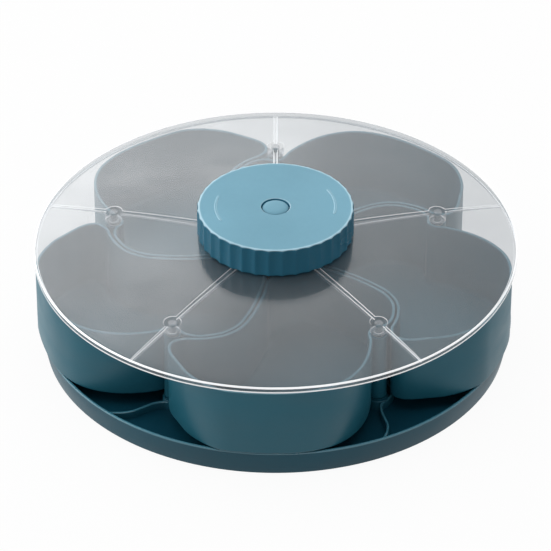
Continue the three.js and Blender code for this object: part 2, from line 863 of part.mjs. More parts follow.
const lidGroup = new THREE.Group();
lidGroup.add(piece("lid", lid(), "clear"));
lidGroup.add(piece("lid_bushing", lidBushing(), "gear"));
server.add(lidGroup);

const knob = new THREE.Group();
knob.add(piece("knob_grip", knobGrip(), "knob"));
knob.add(piece("knob_stem", knobStem(), "knob"));
knob.add(piece("stem_clip", stemClip(), "steel"));
knob.add(piece("knob_button", knobButton(), "knob"));
knob.add(piece("button_spring", buttonSpring(), "steel"));
knobScrewAngles.forEach((angle, index) => {
  knob.add(placed(piece(`knob_screw_${index + 1}`, knobScrew(), "steel"), knobScrewCircle, angle));
});
lidGroup.add(knob);

const drive = new THREE.Group();
drive.add(piece("sun_gear", sunGear(), "gear"));
drive.add(piece("drive_spindle", driveSpindle(), "gear"));
server.add(drive);

const bowlSolid = frontBowl();
petalNames.forEach((name, index) => {
  const bowl = piece(`petal_${name}`, bowlSolid, "bowl");
  bowl.rotation.z = index * sectorAngle;
  server.add(bowl);

  const standing = [
    piece(`pinion_${name}`, pinion(index), "gear"),
    piece(`pivot_post_${name}`, pivotPost(), "tray"),
    piece(`pivot_washer_${name}`, pivotWasher(), "tray"),
    piece(`petal_clip_${name}`, petalClip(), "tray"),
  ];
  for (const mesh of standing) server.add(placed(mesh, pivotRadius, pivotAngles[index]));

  base.add(placed(piece(`cover_screw_${name}`, coverScrew(), "steel"), coverScrewCircle, petalAngles[index]));
  base.add(placed(piece(`foot_${name}`, foot(), "rubber"), footCircle, pivotAngles[index]));
});

export default server;
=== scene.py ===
"""Dresses the rotating chip and dip server.

Five petal bowls stand on a round divided tray, under a clear ribbed lid with a fluted knob.
"""

import json
import logging
import math
from contextlib import contextmanager
from dataclasses import dataclass, field
from enum import Enum
from typing import Callable, Iterable, Iterator, Sequence

import bmesh
import bpy
from mathutils import Matrix, Vector


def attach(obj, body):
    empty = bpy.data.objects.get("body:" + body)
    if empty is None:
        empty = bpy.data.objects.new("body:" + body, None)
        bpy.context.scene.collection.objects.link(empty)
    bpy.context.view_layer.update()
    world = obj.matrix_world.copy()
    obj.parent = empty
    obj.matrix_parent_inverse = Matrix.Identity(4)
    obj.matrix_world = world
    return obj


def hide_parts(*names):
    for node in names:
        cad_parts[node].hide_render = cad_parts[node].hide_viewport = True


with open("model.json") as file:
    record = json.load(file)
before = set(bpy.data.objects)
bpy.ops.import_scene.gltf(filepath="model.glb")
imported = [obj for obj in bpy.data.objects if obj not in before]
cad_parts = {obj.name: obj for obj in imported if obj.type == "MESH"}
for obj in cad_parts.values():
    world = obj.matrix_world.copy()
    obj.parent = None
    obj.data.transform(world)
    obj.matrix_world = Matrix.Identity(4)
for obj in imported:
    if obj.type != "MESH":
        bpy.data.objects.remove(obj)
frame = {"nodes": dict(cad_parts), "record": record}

MM = 0.001
FULL_TURN = 2 * math.pi
SECTOR = FULL_TURN / 5
FRONT = -math.pi / 2
PIVOT_RADIUS = 106.499
OVERRUN = 1.0

Point = tuple[float, float]
Colour = tuple[float, float, float]
Test = Callable[[Vector], bool]
FaceTest = Callable[[Vector, Vector], bool]

log = logging.getLogger("server")


class Sector(Enum):
    """The five sectors of the server, anticlockwise from the front."""

    FRONT = 0
    RIGHT = 1
    BACK_RIGHT = 2
    BACK_LEFT = 3
    LEFT = 4

    @property
    def label(self) -> str:
        """Name that the sector's pieces carry."""
        return self.name.lower()

    @property
    def middle(self) -> float:
        """Direction of the sector's middle, in radians."""
        return FRONT + self.value * SECTOR

    @property
    def pivot(self) -> float:
        """Direction of the sector's pivot post, in radians."""
        return self.middle + SECTOR / 2


class Cut(Enum):
    """What a boolean does with its tool."""

    JOIN = "UNION"
    REMOVE = "DIFFERENCE"


class Slot(Enum):
    """The record's material slots."""

    BOWL = "bowl_plastic"
    TRAY = "tray_plastic"
    CLEAR = "clear_plastic"
    KNOB = "knob_plastic"
    GEAR = "gear_plastic"
    RUBBER = "rubber"
    STEEL = "steel"


class Outline:
    """Plane geometry of outlines, in millimetres."""

    MITRE_LIMIT = 0.5
    SPREAD_ROUNDS = 4
    CROWDED = 0.35

    @staticmethod
    def polar(radius: float, angle: float) -> Vector:
        """Point at a radius and an angle."""
        return Vector((radius * math.cos(angle), radius * math.sin(angle)))

    @staticmethod
    def smooth(points: Sequence[Vector], closed: bool, each: int) -> list[Vector]:
        """Centripetal spline through points.

        Args:
            points: the points that the curve passes.
            closed: whether the curve runs back to its first point.
            each: how many pieces each span is cut into.

        Returns:
            The points of the finer curve.
        """
        count = len(points)
        curve: list[Vector] = []
        for start in range(count if closed else count - 1):
            if closed:
                near = [points[(start + step) % count] for step in (-1, 0, 1, 2)]
            else:
                first, last = points[start], points[start + 1]
                before = points[start - 1] if start else 2 * first - last
                after = points[start + 2] if start + 2 < count else 2 * last - first
                near = [before, first, last, after]
            knots = [0.0]
            for a, b in zip(near, near[1:]):
                knots.append(knots[-1] + math.sqrt((b - a).length))
            for step in range(each):
                at = knots[1] + (knots[2] - knots[1]) * step / each
                level = near
                for reach in (1, 2, 3):
                    level = [Outline.blend(level, knots, i, reach, at) for i in range(len(level) - 1)]
                curve.append(level[0])
        if not closed:
            curve.append(points[-1].copy())
        return curve

    @staticmethod
    def blend(level: Sequence[Vector], knots: Sequence[float], i: int, reach: int, at: float) -> Vector:
        """One step of the spline's pyramid.

        Args:
            level: the points of the level below.
            knots: the curve's four knots.
            i: place in the level.
            reach: 1 for the lowest level, 3 for the top one.
            at: the parameter.

        Returns:
            The blended point.
        """
        first, last = ((i, i + 1), (i, i + 2), (1, 2))[reach - 1]
        low, high = knots[first], knots[last]
        return (level[i] * (high - at) + level[i + 1] * (at - low)) / (high - low)

    @staticmethod
    def inset(points: Sequence[Vector], distance: float) -> list[Vector]:
        """Closed anticlockwise outline moved inwards in small steps, its tight corners kept open.

        Args:
            points: the outline.
            distance: how far it moves inwards; negative moves it outwards.

        Returns:
            The moved outline, with as many points.
        """
        steps = max(1, math.ceil(abs(distance)))
        moved = list(points)
        for _ in range(steps):
            moved = Outline.moved(moved, distance / steps)
        return moved

    @staticmethod
    def moved(points: Sequence[Vector], distance: float) -> list[Vector]:
        """One mitred step of an inset, after which crowded points are spread out."""
        count = len(points)
        made = []
        for i, here in enumerate(points):
            back = (here - points[i - 1]).normalized()
            ahead = (points[(i + 1) % count] - here).normalized()
            sides = [Vector((-way.y, way.x)) for way in (back, ahead)]
            middle = (sides[0] + sides[1]).normalized()
            made.append(here + middle * distance / max(middle.dot(sides[0]), Outline.MITRE_LIMIT))
        for _ in range(Outline.SPREAD_ROUNDS):
            crowded = {
                i for i in range(count)
                if (made[i] - made[i - 1]).dot((points[i] - points[i - 1]).normalized()) < Outline.CROWDED
            }
            for i in {j % count for at in crowded for j in (at - 1, at)}:
                made[i] = (made[i - 1] + made[i] * 2 + made[(i + 1) % count]) / 4
        return made

    @staticmethod
    def ribbon(path: Sequence[Vector], width: float) -> list[Vector]:
        """Outline of a band of one width along a path, its ends half round.

        Args:
            path: the band's middle line.
            width: the band's width.

        Returns:
            The closed outline.
        """
        sides: list[list[Vector]] = [[], []]
        for i, here in enumerate(path):
            along = (path[min(i + 1, len(path) - 1)] - path[max(i - 1, 0)]).normalized()
            across = Vector((along.y, -along.x)) * width / 2
            sides[0].append(here + across)
            sides[1].append(here - across)
        tip = (path[-1] - path[-2]).normalized() * width / 2
        tail = (path[0] - path[1]).normalized() * width / 2
        return [*sides[0], path[-1] + tip, *reversed(sides[1]), path[0] + tail]

    @staticmethod
    def at_height(points: Sequence[Vector], height: float) -> list[Vector]:
        """Ring of an outline at a height, in metres."""
        return [Vector((p.x * MM, p.y * MM, height * MM)) for p in points]

    @staticmethod
    def rounded(corner: Point, radius: float, start: float, end: float, steps: int) -> list[Point]:
        """A profile's corner rounded by a quarter turn.

        Args:
            corner: the sharp corner.
            radius: the rounding's radius.
            start: direction from the arc's centre to its first point, in degrees.
            end: direction to its last point.
            steps: how many steps the arc has.

        Returns:
            The arc's points.
        """
        middle = math.radians((start + end) / 2)
        x = corner[0] - math.copysign(radius, math.cos(middle))
        z = corner[1] - math.copysign(radius, math.sin(middle))
        turns = [math.radians(start + (end - start) * step / steps) for step in range(steps + 1)]
        return [(x + radius * math.cos(t), z + radius * math.sin(t)) for t in turns]


class Bench:
    """The edits that shape every piece."""

    @staticmethod
    def take(piece: bpy.types.Object) -> None:
        """Selects one piece alone."""
        bpy.ops.object.select_all(action="DESELECT")
        piece.select_set(True)
        bpy.context.view_layer.objects.active = piece

    @staticmethod
    @contextmanager
    def editing(piece: bpy.types.Object, kind: str = "VERT") -> Iterator[None]:
        """Edit mode on one piece, with nothing selected.

        Args:
            piece: the piece to edit.
            kind: VERT, EDGE or FACE.

        Returns:
            A context that goes back to object mode at its end.
        """
        Bench.take(piece)
        bpy.ops.object.mode_set(mode="EDIT")
        bpy.ops.mesh.select_mode(type=kind)
        bpy.ops.mesh.select_all(action="DESELECT")
        yield
        bpy.ops.object.mode_set(mode="OBJECT")

    @staticmethod
    def ring(name: str, points: Sequence[Vector], filled: bool) -> bpy.types.Object:
        """A circle primitive drawn to an outline."""
        bpy.ops.object.select_all(action="DESELECT")
        fill = "NGON" if filled else "NOTHING"
        bpy.ops.mesh.primitive_circle_add(vertices=len(points), radius=MM, fill_type=fill, location=(0, 0, 0))
        piece = bpy.context.object
        piece.name = piece.data.name = name
        for vertex, point in zip(piece.data.vertices, points):
            vertex.co = point
        return piece

    @staticmethod
    def lofted(name: str, rings: Sequence[Sequence[Vector]]) -> bpy.types.Object:
        """Closed solid extruded through rings of equally many points.

        Args:
            name: name of the new piece.
            rings: the rings in order, in metres.

        Returns:
            The solid, both its ends capped.
        """
        piece = Bench.ring(name, rings[0], filled=True)
        with Bench.editing(piece):
            bpy.ops.mesh.select_all(action="SELECT")
            for ring in rings[1:]:
                bpy.ops.mesh.extrude_region_move()
                mesh = bmesh.from_edit_mesh(piece.data)
                fresh = [vertex for vertex in mesh.verts if vertex.select]
                for vertex, point in zip(fresh, ring):
                    vertex.co = point
                bmesh.update_edit_mesh(piece.data)
            bpy.ops.mesh.select_all(action="SELECT")
            bpy.ops.mesh.normals_make_consistent(inside=False)
        return piece

    @staticmethod
    def stacked(name: str, outline: Sequence[Vector], levels: Iterable[Point]) -> bpy.types.Object:
        """Closed solid through insets of one outline.

        Args:
            name: name of the new piece.
            outline: the outline, in millimetres.
            levels: pairs of inset and height, from the bottom up.

        Returns:
            The solid.
        """
        return Bench.lofted(name, [Outline.at_height(Outline.inset(outline, d), z) for d, z in levels])

    @staticmethod
    def turned(name: str, profile: Sequence[Point], steps: int) -> bpy.types.Object:
        """Closed solid spun about the upright axis.

        Args:
            name: name of the new piece.
            profile: closed profile of (radius, height), in millimetres.
            steps: how many steps make the full turn.

        Returns:
            The solid.
        """
        piece = Bench.ring(name, [Vector((r * MM, 0, z * MM)) for r, z in profile], filled=False)
        with Bench.editing(piece):
            bpy.ops.mesh.select_all(action="SELECT")
            bpy.ops.mesh.spin(steps=steps, angle=FULL_TURN, center=(0, 0, 0), axis=(0, 0, 1), use_auto_merge=True)
            bpy.ops.mesh.select_all(action="SELECT")
            bpy.ops.mesh.remove_doubles(threshold=MM / 1000)
            bpy.ops.mesh.delete_loose(use_verts=True, use_edges=True, use_faces=False)
            bpy.ops.mesh.select_all(action="SELECT")
            bpy.ops.mesh.normals_make_consistent(inside=False)
        return piece

    @staticmethod
    def rod(name: str, radius: float, bottom: float, top: float, round_over: float, sides: int) -> bpy.types.Object:
        """Upright cylinder with rounded ends, on the axis.

        Args:
            name: name of the new piece.
            radius: its radius.
            bottom: its lower end.
            top: its upper end.
            round_over: radius of the rounded ends, or 0.
            sides: how many sides it has.

        Returns:
            The cylinder.
        """
        bpy.ops.object.select_all(action="DESELECT")
        middle = (0, 0, (bottom + top) / 2 * MM)
        depth = (top - bottom) * MM
        bpy.ops.mesh.primitive_cylinder_add(vertices=sides, radius=radius * MM, depth=depth, location=middle)
        piece = bpy.context.object
        piece.name = piece.data.name = name
        bpy.ops.object.transform_apply(location=True, rotation=True, scale=True)
        if round_over:
            ends = (bottom, top)
            Bench.bevelled(piece, lambda at: min(abs(at.z / MM - end) for end in ends) < 0.01, round_over, 3)
        return piece

    @staticmethod
    def bevelled(piece: bpy.types.Object, chosen: Test, width: float, segments: int) -> None:
        """Rounds the sharp edges whose both ends pass a test.

        Args:
            piece: the piece to edit.
            chosen: says whether an edge's end is on the edges to round.
            width: the rounding's size, in millimetres.
            segments: how many faces make the rounding.
        """
        with Bench.editing(piece, "EDGE"):
            mesh = bmesh.from_edit_mesh(piece.data)
            for edge in mesh.edges:
                sharp = len(edge.link_faces) == 2 and edge.calc_face_angle(0) > math.radians(25)
                edge.select = sharp and all(chosen(vertex.co) for vertex in edge.verts)
            mesh.select_flush_mode()
            bmesh.update_edit_mesh(piece.data)
            bpy.ops.mesh.bevel(offset=width * MM, segments=segments, affect="EDGES", clamp_overlap=True)

    @staticmethod
    def combined(piece: bpy.types.Object, tool: bpy.types.Object, how: Cut) -> None:
        """Joins a tool to a piece or cuts it away, and takes the tool off the bench."""
        step = piece.modifiers.new(how.name, "BOOLEAN")
        step.operation = how.value
        step.solver = "EXACT"
        step.object = tool
        Bench.take(piece)
        bpy.ops.object.modifier_apply(modifier=step.name)
        bpy.data.objects.remove(tool)

    @staticmethod
    def shifted(piece: bpy.types.Object, x: float = 0, y: float = 0, turn: float = 0) -> bpy.types.Object:
        """Turns a piece's mesh about the axis, then moves it, in millimetres."""
        piece.data.transform(Matrix.Translation((x * MM, y * MM, 0)) @ Matrix.Rotation(turn, 4, "Z"))
        return piece

    @staticmethod
    def copied(piece: bpy.types.Object, name: str, turn: float) -> bpy.types.Object:
        """A copy of a piece with its own mesh, turned about the server's axis."""
        copy = bpy.data.objects.new(name, piece.data.copy())
        copy.data.name = name
        bpy.context.scene.collection.objects.link(copy)
        return Bench.shifted(copy, turn=turn)

    @staticmethod
    def at_pivot(piece: bpy.types.Object) -> bpy.types.Object:
        """Moves a piece from the axis to the front sector's pivot."""
        pivot = Outline.polar(PIVOT_RADIUS, Sector.FRONT.pivot)
        return Bench.shifted(piece, pivot.x, pivot.y)

    @staticmethod
    def in_sectors(piece: bpy.types.Object, stem: str) -> list[bpy.types.Object]:
        """A front sector's piece and its copies in the other four, named after a stem."""
        others = list(Sector)[1:]
        return [piece, *[Bench.copied(piece, stem + sector.label, sector.value * SECTOR) for sector in others]]

    @staticmethod
    def ganged(pieces: Sequence[bpy.types.Object]) -> bpy.types.Object:
        """Several pieces joined into the first one's object."""
        bpy.ops.object.select_all(action="DESELECT")
        for piece in pieces:
            piece.select_set(True)
        bpy.context.view_layer.objects.active = pieces[0]
        bpy.ops.object.join()
        return bpy.context.object

    @staticmethod
    def smoothed(piece: bpy.types.Object, degrees: float = 34) -> None:
        """Shades a piece smooth across every edge under an angle."""
        Bench.take(piece)
        bpy.ops.object.shade_smooth_by_angle(angle=math.radians(degrees))


class Nodes:
    """The node tree of a material or of the world while it is wired."""

    NOISE_SPAN = (0.3, 0.7)

    def __init__(self, owner: bpy.types.ID, output: str = "ShaderNodeOutputMaterial") -> None:
        """Starts an empty tree.

        Args:
            owner: the material or the world that the tree belongs to.
            output: type of its output node.
        """
        self.owner = owner
        owner.use_nodes = True
        self.tree = owner.node_tree
        self.tree.nodes.clear()
        self.out = self.add(output)
        self.place = self.add("ShaderNodeTexCoord")

    @classmethod
    def named(cls, name: str) -> "Nodes":
        """The empty tree of a new material."""
        return cls(bpy.data.materials.new(name))

    def add(self, kind: str, **settings: object) -> bpy.types.Node:
        """Adds a node; a setting named after a property sets it, and any other feeds an input.

        Args:
            kind: the node's type.
            settings: properties and inputs, with underscores for spaces in an input's name.

        Returns:
            The node.
        """
        node = self.tree.nodes.new(kind)
        for key, value in settings.items():
            if hasattr(node, key):
                setattr(node, key, value)
            else:
                self.feed(value, node.inputs[key.replace("_", " ")])
        return node

    def feed(self, source: object, target: bpy.types.NodeSocket) -> None:
        """Links an output to an input, or sets the input where the source is a plain value."""
        if isinstance(source, bpy.types.NodeSocket):
            self.tree.links.new(source, target)
        else:
            target.default_value = source

    def noise(self, scale: float, detail: float = 3, stretch: Colour = (1, 1, 1)) -> bpy.types.NodeSocket:
        """Noise over the piece's own coordinates, which are metres.

        Args:
            scale: features to a metre.
            detail: octaves.
            stretch: scale along each axis.

        Returns:
            The noise's value.
        """
        mapping = self.add("ShaderNodeMapping", Vector=self.place.outputs["Object"], Scale=stretch)
        cloud = self.add("ShaderNodeTexNoise", Vector=mapping.outputs["Vector"], Scale=scale, Detail=detail)
        return cloud.outputs["Fac"]

    def ranged(self, source: bpy.types.NodeSocket, low: float, high: float) -> bpy.types.NodeSocket:
        """The middle of a noise's values spread over a range."""
        start, end = self.NOISE_SPAN
        ramp = self.add("ShaderNodeMapRange", Value=source, From_Min=start, From_Max=end, To_Min=low, To_Max=high)
        return ramp.outputs["Result"]

    def mixed(
        self,
        share: bpy.types.NodeSocket,
        first: Colour | bpy.types.NodeSocket,
        second: Colour,
        blend: str = "MIX",
    ) -> bpy.types.NodeSocket:
        """A blend of two colours.

        Args:
            share: how much of the second colour is used.
            first: the first colour, or the output that gives it.
            second: the second colour.
            blend: how the second colour goes over the first.

        Returns:
            The blended colour.
        """
        mix = self.add("ShaderNodeMix", data_type="RGBA", blend_type=blend)
        self.feed(share, mix.inputs[0])
        self.feed(first if isinstance(first, bpy.types.NodeSocket) else (*first, 1), mix.inputs[6])
        self.feed((*second, 1), mix.inputs[7])
        return mix.outputs[2]

    def worked(
        self,
        operation: str,
        first: bpy.types.NodeSocket,
        second: float | bpy.types.NodeSocket,
        clamped: bool = False,
    ) -> bpy.types.NodeSocket:
        """The result of one operation on two values.

        Args:
            operation: the math node's operation.
            first: the first value.
            second: the second value, or the output that gives it.
            clamped: whether the result is kept between 0 and 1.

        Returns:
            The result.
        """
        work = self.add("ShaderNodeMath", operation=operation, use_clamp=clamped)
        self.feed(first, work.inputs[0])
        self.feed(second, work.inputs[1])
        return work.outputs[0]

    def layered(
        self, share: bpy.types.NodeSocket, under: bpy.types.Node, over: bpy.types.Node
    ) -> bpy.types.Node:
        """One shader laid over another by a share."""
        mix = self.add("ShaderNodeMixShader")
        for place, source in enumerate((share, under.outputs[0], over.outputs[0])):
            self.feed(source, mix.inputs[place])
        return mix

    def bumped(self, *heights: tuple[bpy.types.NodeSocket, float]) -> bpy.types.NodeSocket:
        """Stacked bumps.

        Args:
            heights: each a height and how deep it goes, in metres.

        Returns:
            The normal.
        """
        below: dict[str, bpy.types.NodeSocket] = {}
        for source, depth in heights:
            bump = self.add("ShaderNodeBump", Strength=1.0, Distance=depth, Height=source, **below)
            below = {"Normal": bump.outputs["Normal"]}
        return below["Normal"]

    def finished(self, shader: bpy.types.Node) -> bpy.types.ID:
        """Wires a shader to the output and hands over the material or the world."""
        self.feed(shader.outputs[0], self.out.inputs["Surface"])
        return self.owner


@dataclass(frozen=True)
class MouldedPlastic:
    """Moulded plastic: a colour that drifts a little, an uneven satin and the mould's fine grain.

    Each noise is a pair of features to a metre and octaves.
    """

    name: str
    colour: Colour
    rough: Point = (0.36, 0.48)
    shine: float = 0.5
    bend: float = 1.49
    drift: float = 0.07
    drift_noise: Point = (14, 4)
    speckle: float = 0.35
    speckle_noise: Point = (420, 2)
    speckle_tint: Colour = (0.93, 0.94, 0.95)
    wiped_noise: Point = (26, 5)
    wiped_stretch: Colour = (1, 1, 2.5)
    sink: float = 0.00003
    sink_noise: Point = (22, 2)
    grain: float = 0.000001
    grain_noise: Point = (1400, 2)

    def material(self) -> bpy.types.Material:
        """The finish as a node material."""
        nodes = Nodes.named(self.name)
        dark, light = [tuple(c * (1 + way * self.drift) for c in self.colour) for way in (-1, 1)]
        tone = nodes.mixed(nodes.ranged(nodes.noise(*self.drift_noise), 0, 1), dark, light)
        specks = nodes.ranged(nodes.noise(*self.speckle_noise), 0, self.speckle)
        broad, fine = nodes.noise(*self.sink_noise), nodes.noise(*self.grain_noise)
        return nodes.finished(nodes.add(
            "ShaderNodeBsdfPrincipled",
            Base_Color=nodes.mixed(specks, tone, self.speckle_tint, "MULTIPLY"),
            Roughness=nodes.ranged(nodes.noise(*self.wiped_noise, self.wiped_stretch), *self.rough),
            Normal=nodes.bumped((broad, self.sink), (fine, self.grain)),
            Specular_IOR_Level=self.shine,
            IOR=self.bend,
        ))


@dataclass(frozen=True)
class ClearPlastic:
    """Clear moulded plastic, seen through and mirrored, with a faint haze and wiping marks.

    Its glow is painted light: an emission that makes the rounded edges shine though no lamp lights them.
    Each noise is a pair of features to a metre and octaves.
    """

    name: str
    through: Colour = (0.9, 0.905, 0.91)
    haze: float = 0.03
    haze_drift: float = 0.2
    haze_noise: Point = (18, 4)
    milk: Colour = (0.8, 0.82, 0.84)
    milk_lift: float = 1.1
    milk_noise: Point = (12, 3)
    milk_rough: float = 0.3
    mirror: float = 0.0
    rough: Point = (0.02, 0.09)
    rough_noise: Point = (30, 1)
    rough_stretch: Colour = (1, 2.2, 1)
    ripple: float = 0.0003
    ripple_noise: Point = (9, 2)
    bend: float = 1.49
    # painted glow: an emission on the faces, though they are no lamp
    glow: float = 0.0

    def mirrored_share(self, nodes: Nodes) -> bpy.types.NodeSocket:
        """How much of the light is mirrored, the same from both sides of a face."""
        behind = nodes.add("ShaderNodeNewGeometry").outputs["Backfacing"]
        bend = nodes.add("ShaderNodeMapRange", Value=behind, To_Min=self.bend, To_Max=1 / self.bend)
        share = nodes.add("ShaderNodeFresnel", IOR=bend.outputs["Result"]).outputs["Fac"]
        return nodes.worked("ADD", share, self.mirror, clamped=True) if self.mirror else share

    def material(self) -> bpy.types.Material:
        """The finish as a node material."""
        nodes = Nodes.named(self.name)
        pale = tuple(c * self.milk_lift for c in self.milk)
        sight = nodes.add("ShaderNodeBsdfTransparent", Color=(*self.through, 1))
        veil = nodes.add(
            "ShaderNodeBsdfPrincipled",
            Base_Color=nodes.mixed(nodes.ranged(nodes.noise(*self.milk_noise), 0, 1), self.milk, pale),
            Roughness=self.milk_rough,
            IOR=self.bend,
            Emission_Strength=self.glow,
        )
        mirror = nodes.add(
            "ShaderNodeBsdfGlossy",
            Color=(1, 1, 1, 1),
            Roughness=nodes.ranged(nodes.noise(*self.rough_noise, self.rough_stretch), *self.rough),
            Normal=nodes.bumped((nodes.noise(*self.ripple_noise), self.ripple)),
        )
        clear = nodes.layered(self.mirrored_share(nodes), sight, mirror)
        span = [self.haze * (1 + way * self.haze_drift) for way in (-1, 1)]
        return nodes.finished(nodes.layered(nodes.ranged(nodes.noise(*self.haze_noise), *span), clear, veil))


@dataclass(frozen=True)
class TurnedMetal:
    """Plain zinc-plated steel, its tool marks running round the axis."""

    name: str
    colour: Colour = (0.62, 0.64, 0.66)
    dull: float = 0.82
    rough: Point = (0.25, 0.42)
    rough_noise: Point = (300, 3)
    marks: float = 0.000003
    marks_noise: Point = (900, 3)
    marks_stretch: Colour = (0.15, 0.15, 6)

    def material(self) -> bpy.types.Material:
        """The finish as a node material."""
        nodes = Nodes.named(self.name)
        marks = nodes.noise(*self.marks_noise, self.marks_stretch)
        dull = tuple(c * self.dull for c in self.colour)
        return nodes.finished(nodes.add(
            "ShaderNodeBsdfPrincipled",
            Metallic=1.0,
            Base_Color=nodes.mixed(nodes.ranged(marks, 0, 1), dull, self.colour),
            Roughness=nodes.ranged(nodes.noise(*self.rough_noise), *self.rough),
            Normal=nodes.bumped((marks, self.marks)),
        ))


@dataclass(frozen=True)
class SoftRubber:
    """Matt black rubber with a dusty bloom."""

    name: str
    colour: Colour = (0.03, 0.03, 0.033)
    bloom: float = 2.2
    bloom_noise: Point = (160, 4)
    rough: Point = (0.7, 0.9)
    grain: float = 0.00002
    grain_noise: Point = (1800, 3)
    shine: float = 0.3

    def material(self) -> bpy.types.Material:
        """The finish as a node material."""
        nodes = Nodes.named(self.name)
        bloom = nodes.noise(*self.bloom_noise)
        pale = tuple(c * self.bloom for c in self.colour)
        return nodes.finished(nodes.add(
            "ShaderNodeBsdfPrincipled",
            Specular_IOR_Level=self.shine,
            Base_Color=nodes.mixed(nodes.ranged(bloom, 0, 1), self.colour, pale),
            Roughness=nodes.ranged(bloom, *self.rough),
            Normal=nodes.bumped((nodes.noise(*self.grain_noise), self.grain)),
        ))


Finish = MouldedPlastic | ClearPlastic | TurnedMetal | SoftRubber


@dataclass
class Finishes:
    """Every finish on the server, made once."""

    bowl: MouldedPlastic = MouldedPlastic("bowl satin", (0.02, 0.16, 0.225), shine=0.48)
    # painted highlight: the bowls' rounded lips are coloured much paler than the bowls, for the bright lines along
    # their rims
    bowl_lip: MouldedPlastic = MouldedPlastic("bowl lip", (0.16, 0.4, 0.5), rough=(0.2, 0.3), shine=0.8)
    tray: MouldedPlastic = MouldedPlastic("tray satin", (0.012, 0.105, 0.155), rough=(0.34, 0.46), shine=0.35)
    # painted shade: the tray's floor is coloured darker than the tray, for the shade that falls on it under the
    # bowls and the lid
    tray_floor_shade: MouldedPlastic = MouldedPlastic("tray floor painted shade", (0.005, 0.06, 0.095), rough=(0.34, 0.46), shine=0.3)
    # painted highlight: a paler, shinier copy of the tray's colour on its rim and on the crests of its dividers
    tray_lip_highlight: MouldedPlastic = MouldedPlastic("tray lip painted highlight", (0.07, 0.25, 0.33), rough=(0.2, 0.3), shine=0.8)
    knob: MouldedPlastic = MouldedPlastic("knob satin", (0.175, 0.37, 0.47), rough=(0.36, 0.46), shine=0.16)
    # painted shade: the knob's upright sides are a darker copy of the knob's colour, for the shade on its flutes
    grip: MouldedPlastic = MouldedPlastic("grip side painted shade", (0.04, 0.21, 0.32), rough=(0.2, 0.28), shine=0.3)
    # painted highlight: a paler, shinier copy of the knob's colour on its top edge, the slopes of its marks and the
    # button hole's chamfer
    knob_edge_highlight: MouldedPlastic = MouldedPlastic("knob edge painted highlight", (0.32, 0.55, 0.66), rough=(0.14, 0.22), shine=0.8)
    sheet: ClearPlastic = ClearPlastic(
        "clear sheet", through=(0.86, 0.87, 0.88), haze=0.15, milk=(0.275, 0.295, 0.31), rough=(0.06, 0.2)
    )
    wall: ClearPlastic = ClearPlastic("clear wall", haze=0.16, mirror=0.02)
    # painted highlight and glow: the lid's rounded edges take a whiter haze, a stronger mirror and an emission, for
    # the bright lines along its rim, ribs and bosses
    edge: ClearPlastic = ClearPlastic(
        "clear edge painted highlight", through=(0.97, 0.97, 0.97), haze=0.55, mirror=0.6, rough=(0.1, 0.2), glow=0.5
    )
    gear: MouldedPlastic = MouldedPlastic("natural nylon", (0.72, 0.7, 0.63), rough=(0.4, 0.55), grain=0.000008)
    rubber: SoftRubber = SoftRubber("foot rubber")
    steel: TurnedMetal = TurnedMetal("plain steel")
    made: dict[str, bpy.types.Material] = field(default_factory=dict)

    def of(self, finish: Finish) -> bpy.types.Material:
        """The material of a finish, made the first time it is asked for."""
        if finish.name not in self.made:
            self.made[finish.name] = finish.material()
        return self.made[finish.name]

    def for_slot(self, slot: Slot) -> Finish:
        """The finish of one of the record's slots."""
        return {
            Slot.BOWL: self.bowl,
            Slot.TRAY: self.tray,
            Slot.CLEAR: self.sheet,
            Slot.KNOB: self.knob,
            Slot.GEAR: self.gear,
            Slot.RUBBER: self.rubber,
            Slot.STEEL: self.steel,
        }[slot]

    def coat(self, piece: bpy.types.Object, *coats: Finish) -> None:
        """Gives a piece its finishes and takes off those it had."""
        piece.data.materials.clear()
        for finish in coats:
            piece.data.materials.append(self.of(finish))

    def parted(self, piece: bpy.types.Object, plain: Finish, *others: tuple[Finish, FaceTest]) -> None:
        """Gives a piece one finish, and others to the faces that their tests choose.

        Args:
            piece: the piece.
            plain: the finish of the faces that no test chooses.
            others: each a finish and the test of a face's middle, in millimetres, and its normal.
        """
        self.coat(piece, plain, *[finish for finish, _ in others])
        for face in piece.data.polygons:
            at = face.center / MM
            chosen = [place for place, (_, test) in enumerate(others, 1) if test(at, face.normal)]
            face.material_index = chosen[0] if chosen else 0

    def dress(self, piece: bpy.types.Object, slot: Slot, body: str, *nodes: str) -> None:
        """Gives a finished piece its material, its body and the CAD nodes it stands for.

        Args:
            piece: the finished piece.
            slot: the record's slot that it takes its finish from.
            body: the CAD body that it rides on.
            nodes: the CAD nodes that it replaces.
        """
        if not piece.data.materials:
            self.coat(piece, self.for_slot(slot))
        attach(piece, body)
        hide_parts(*nodes)
        log.info("%s: %d faces, rides on %s", piece.name, len(piece.data.polygons), body)


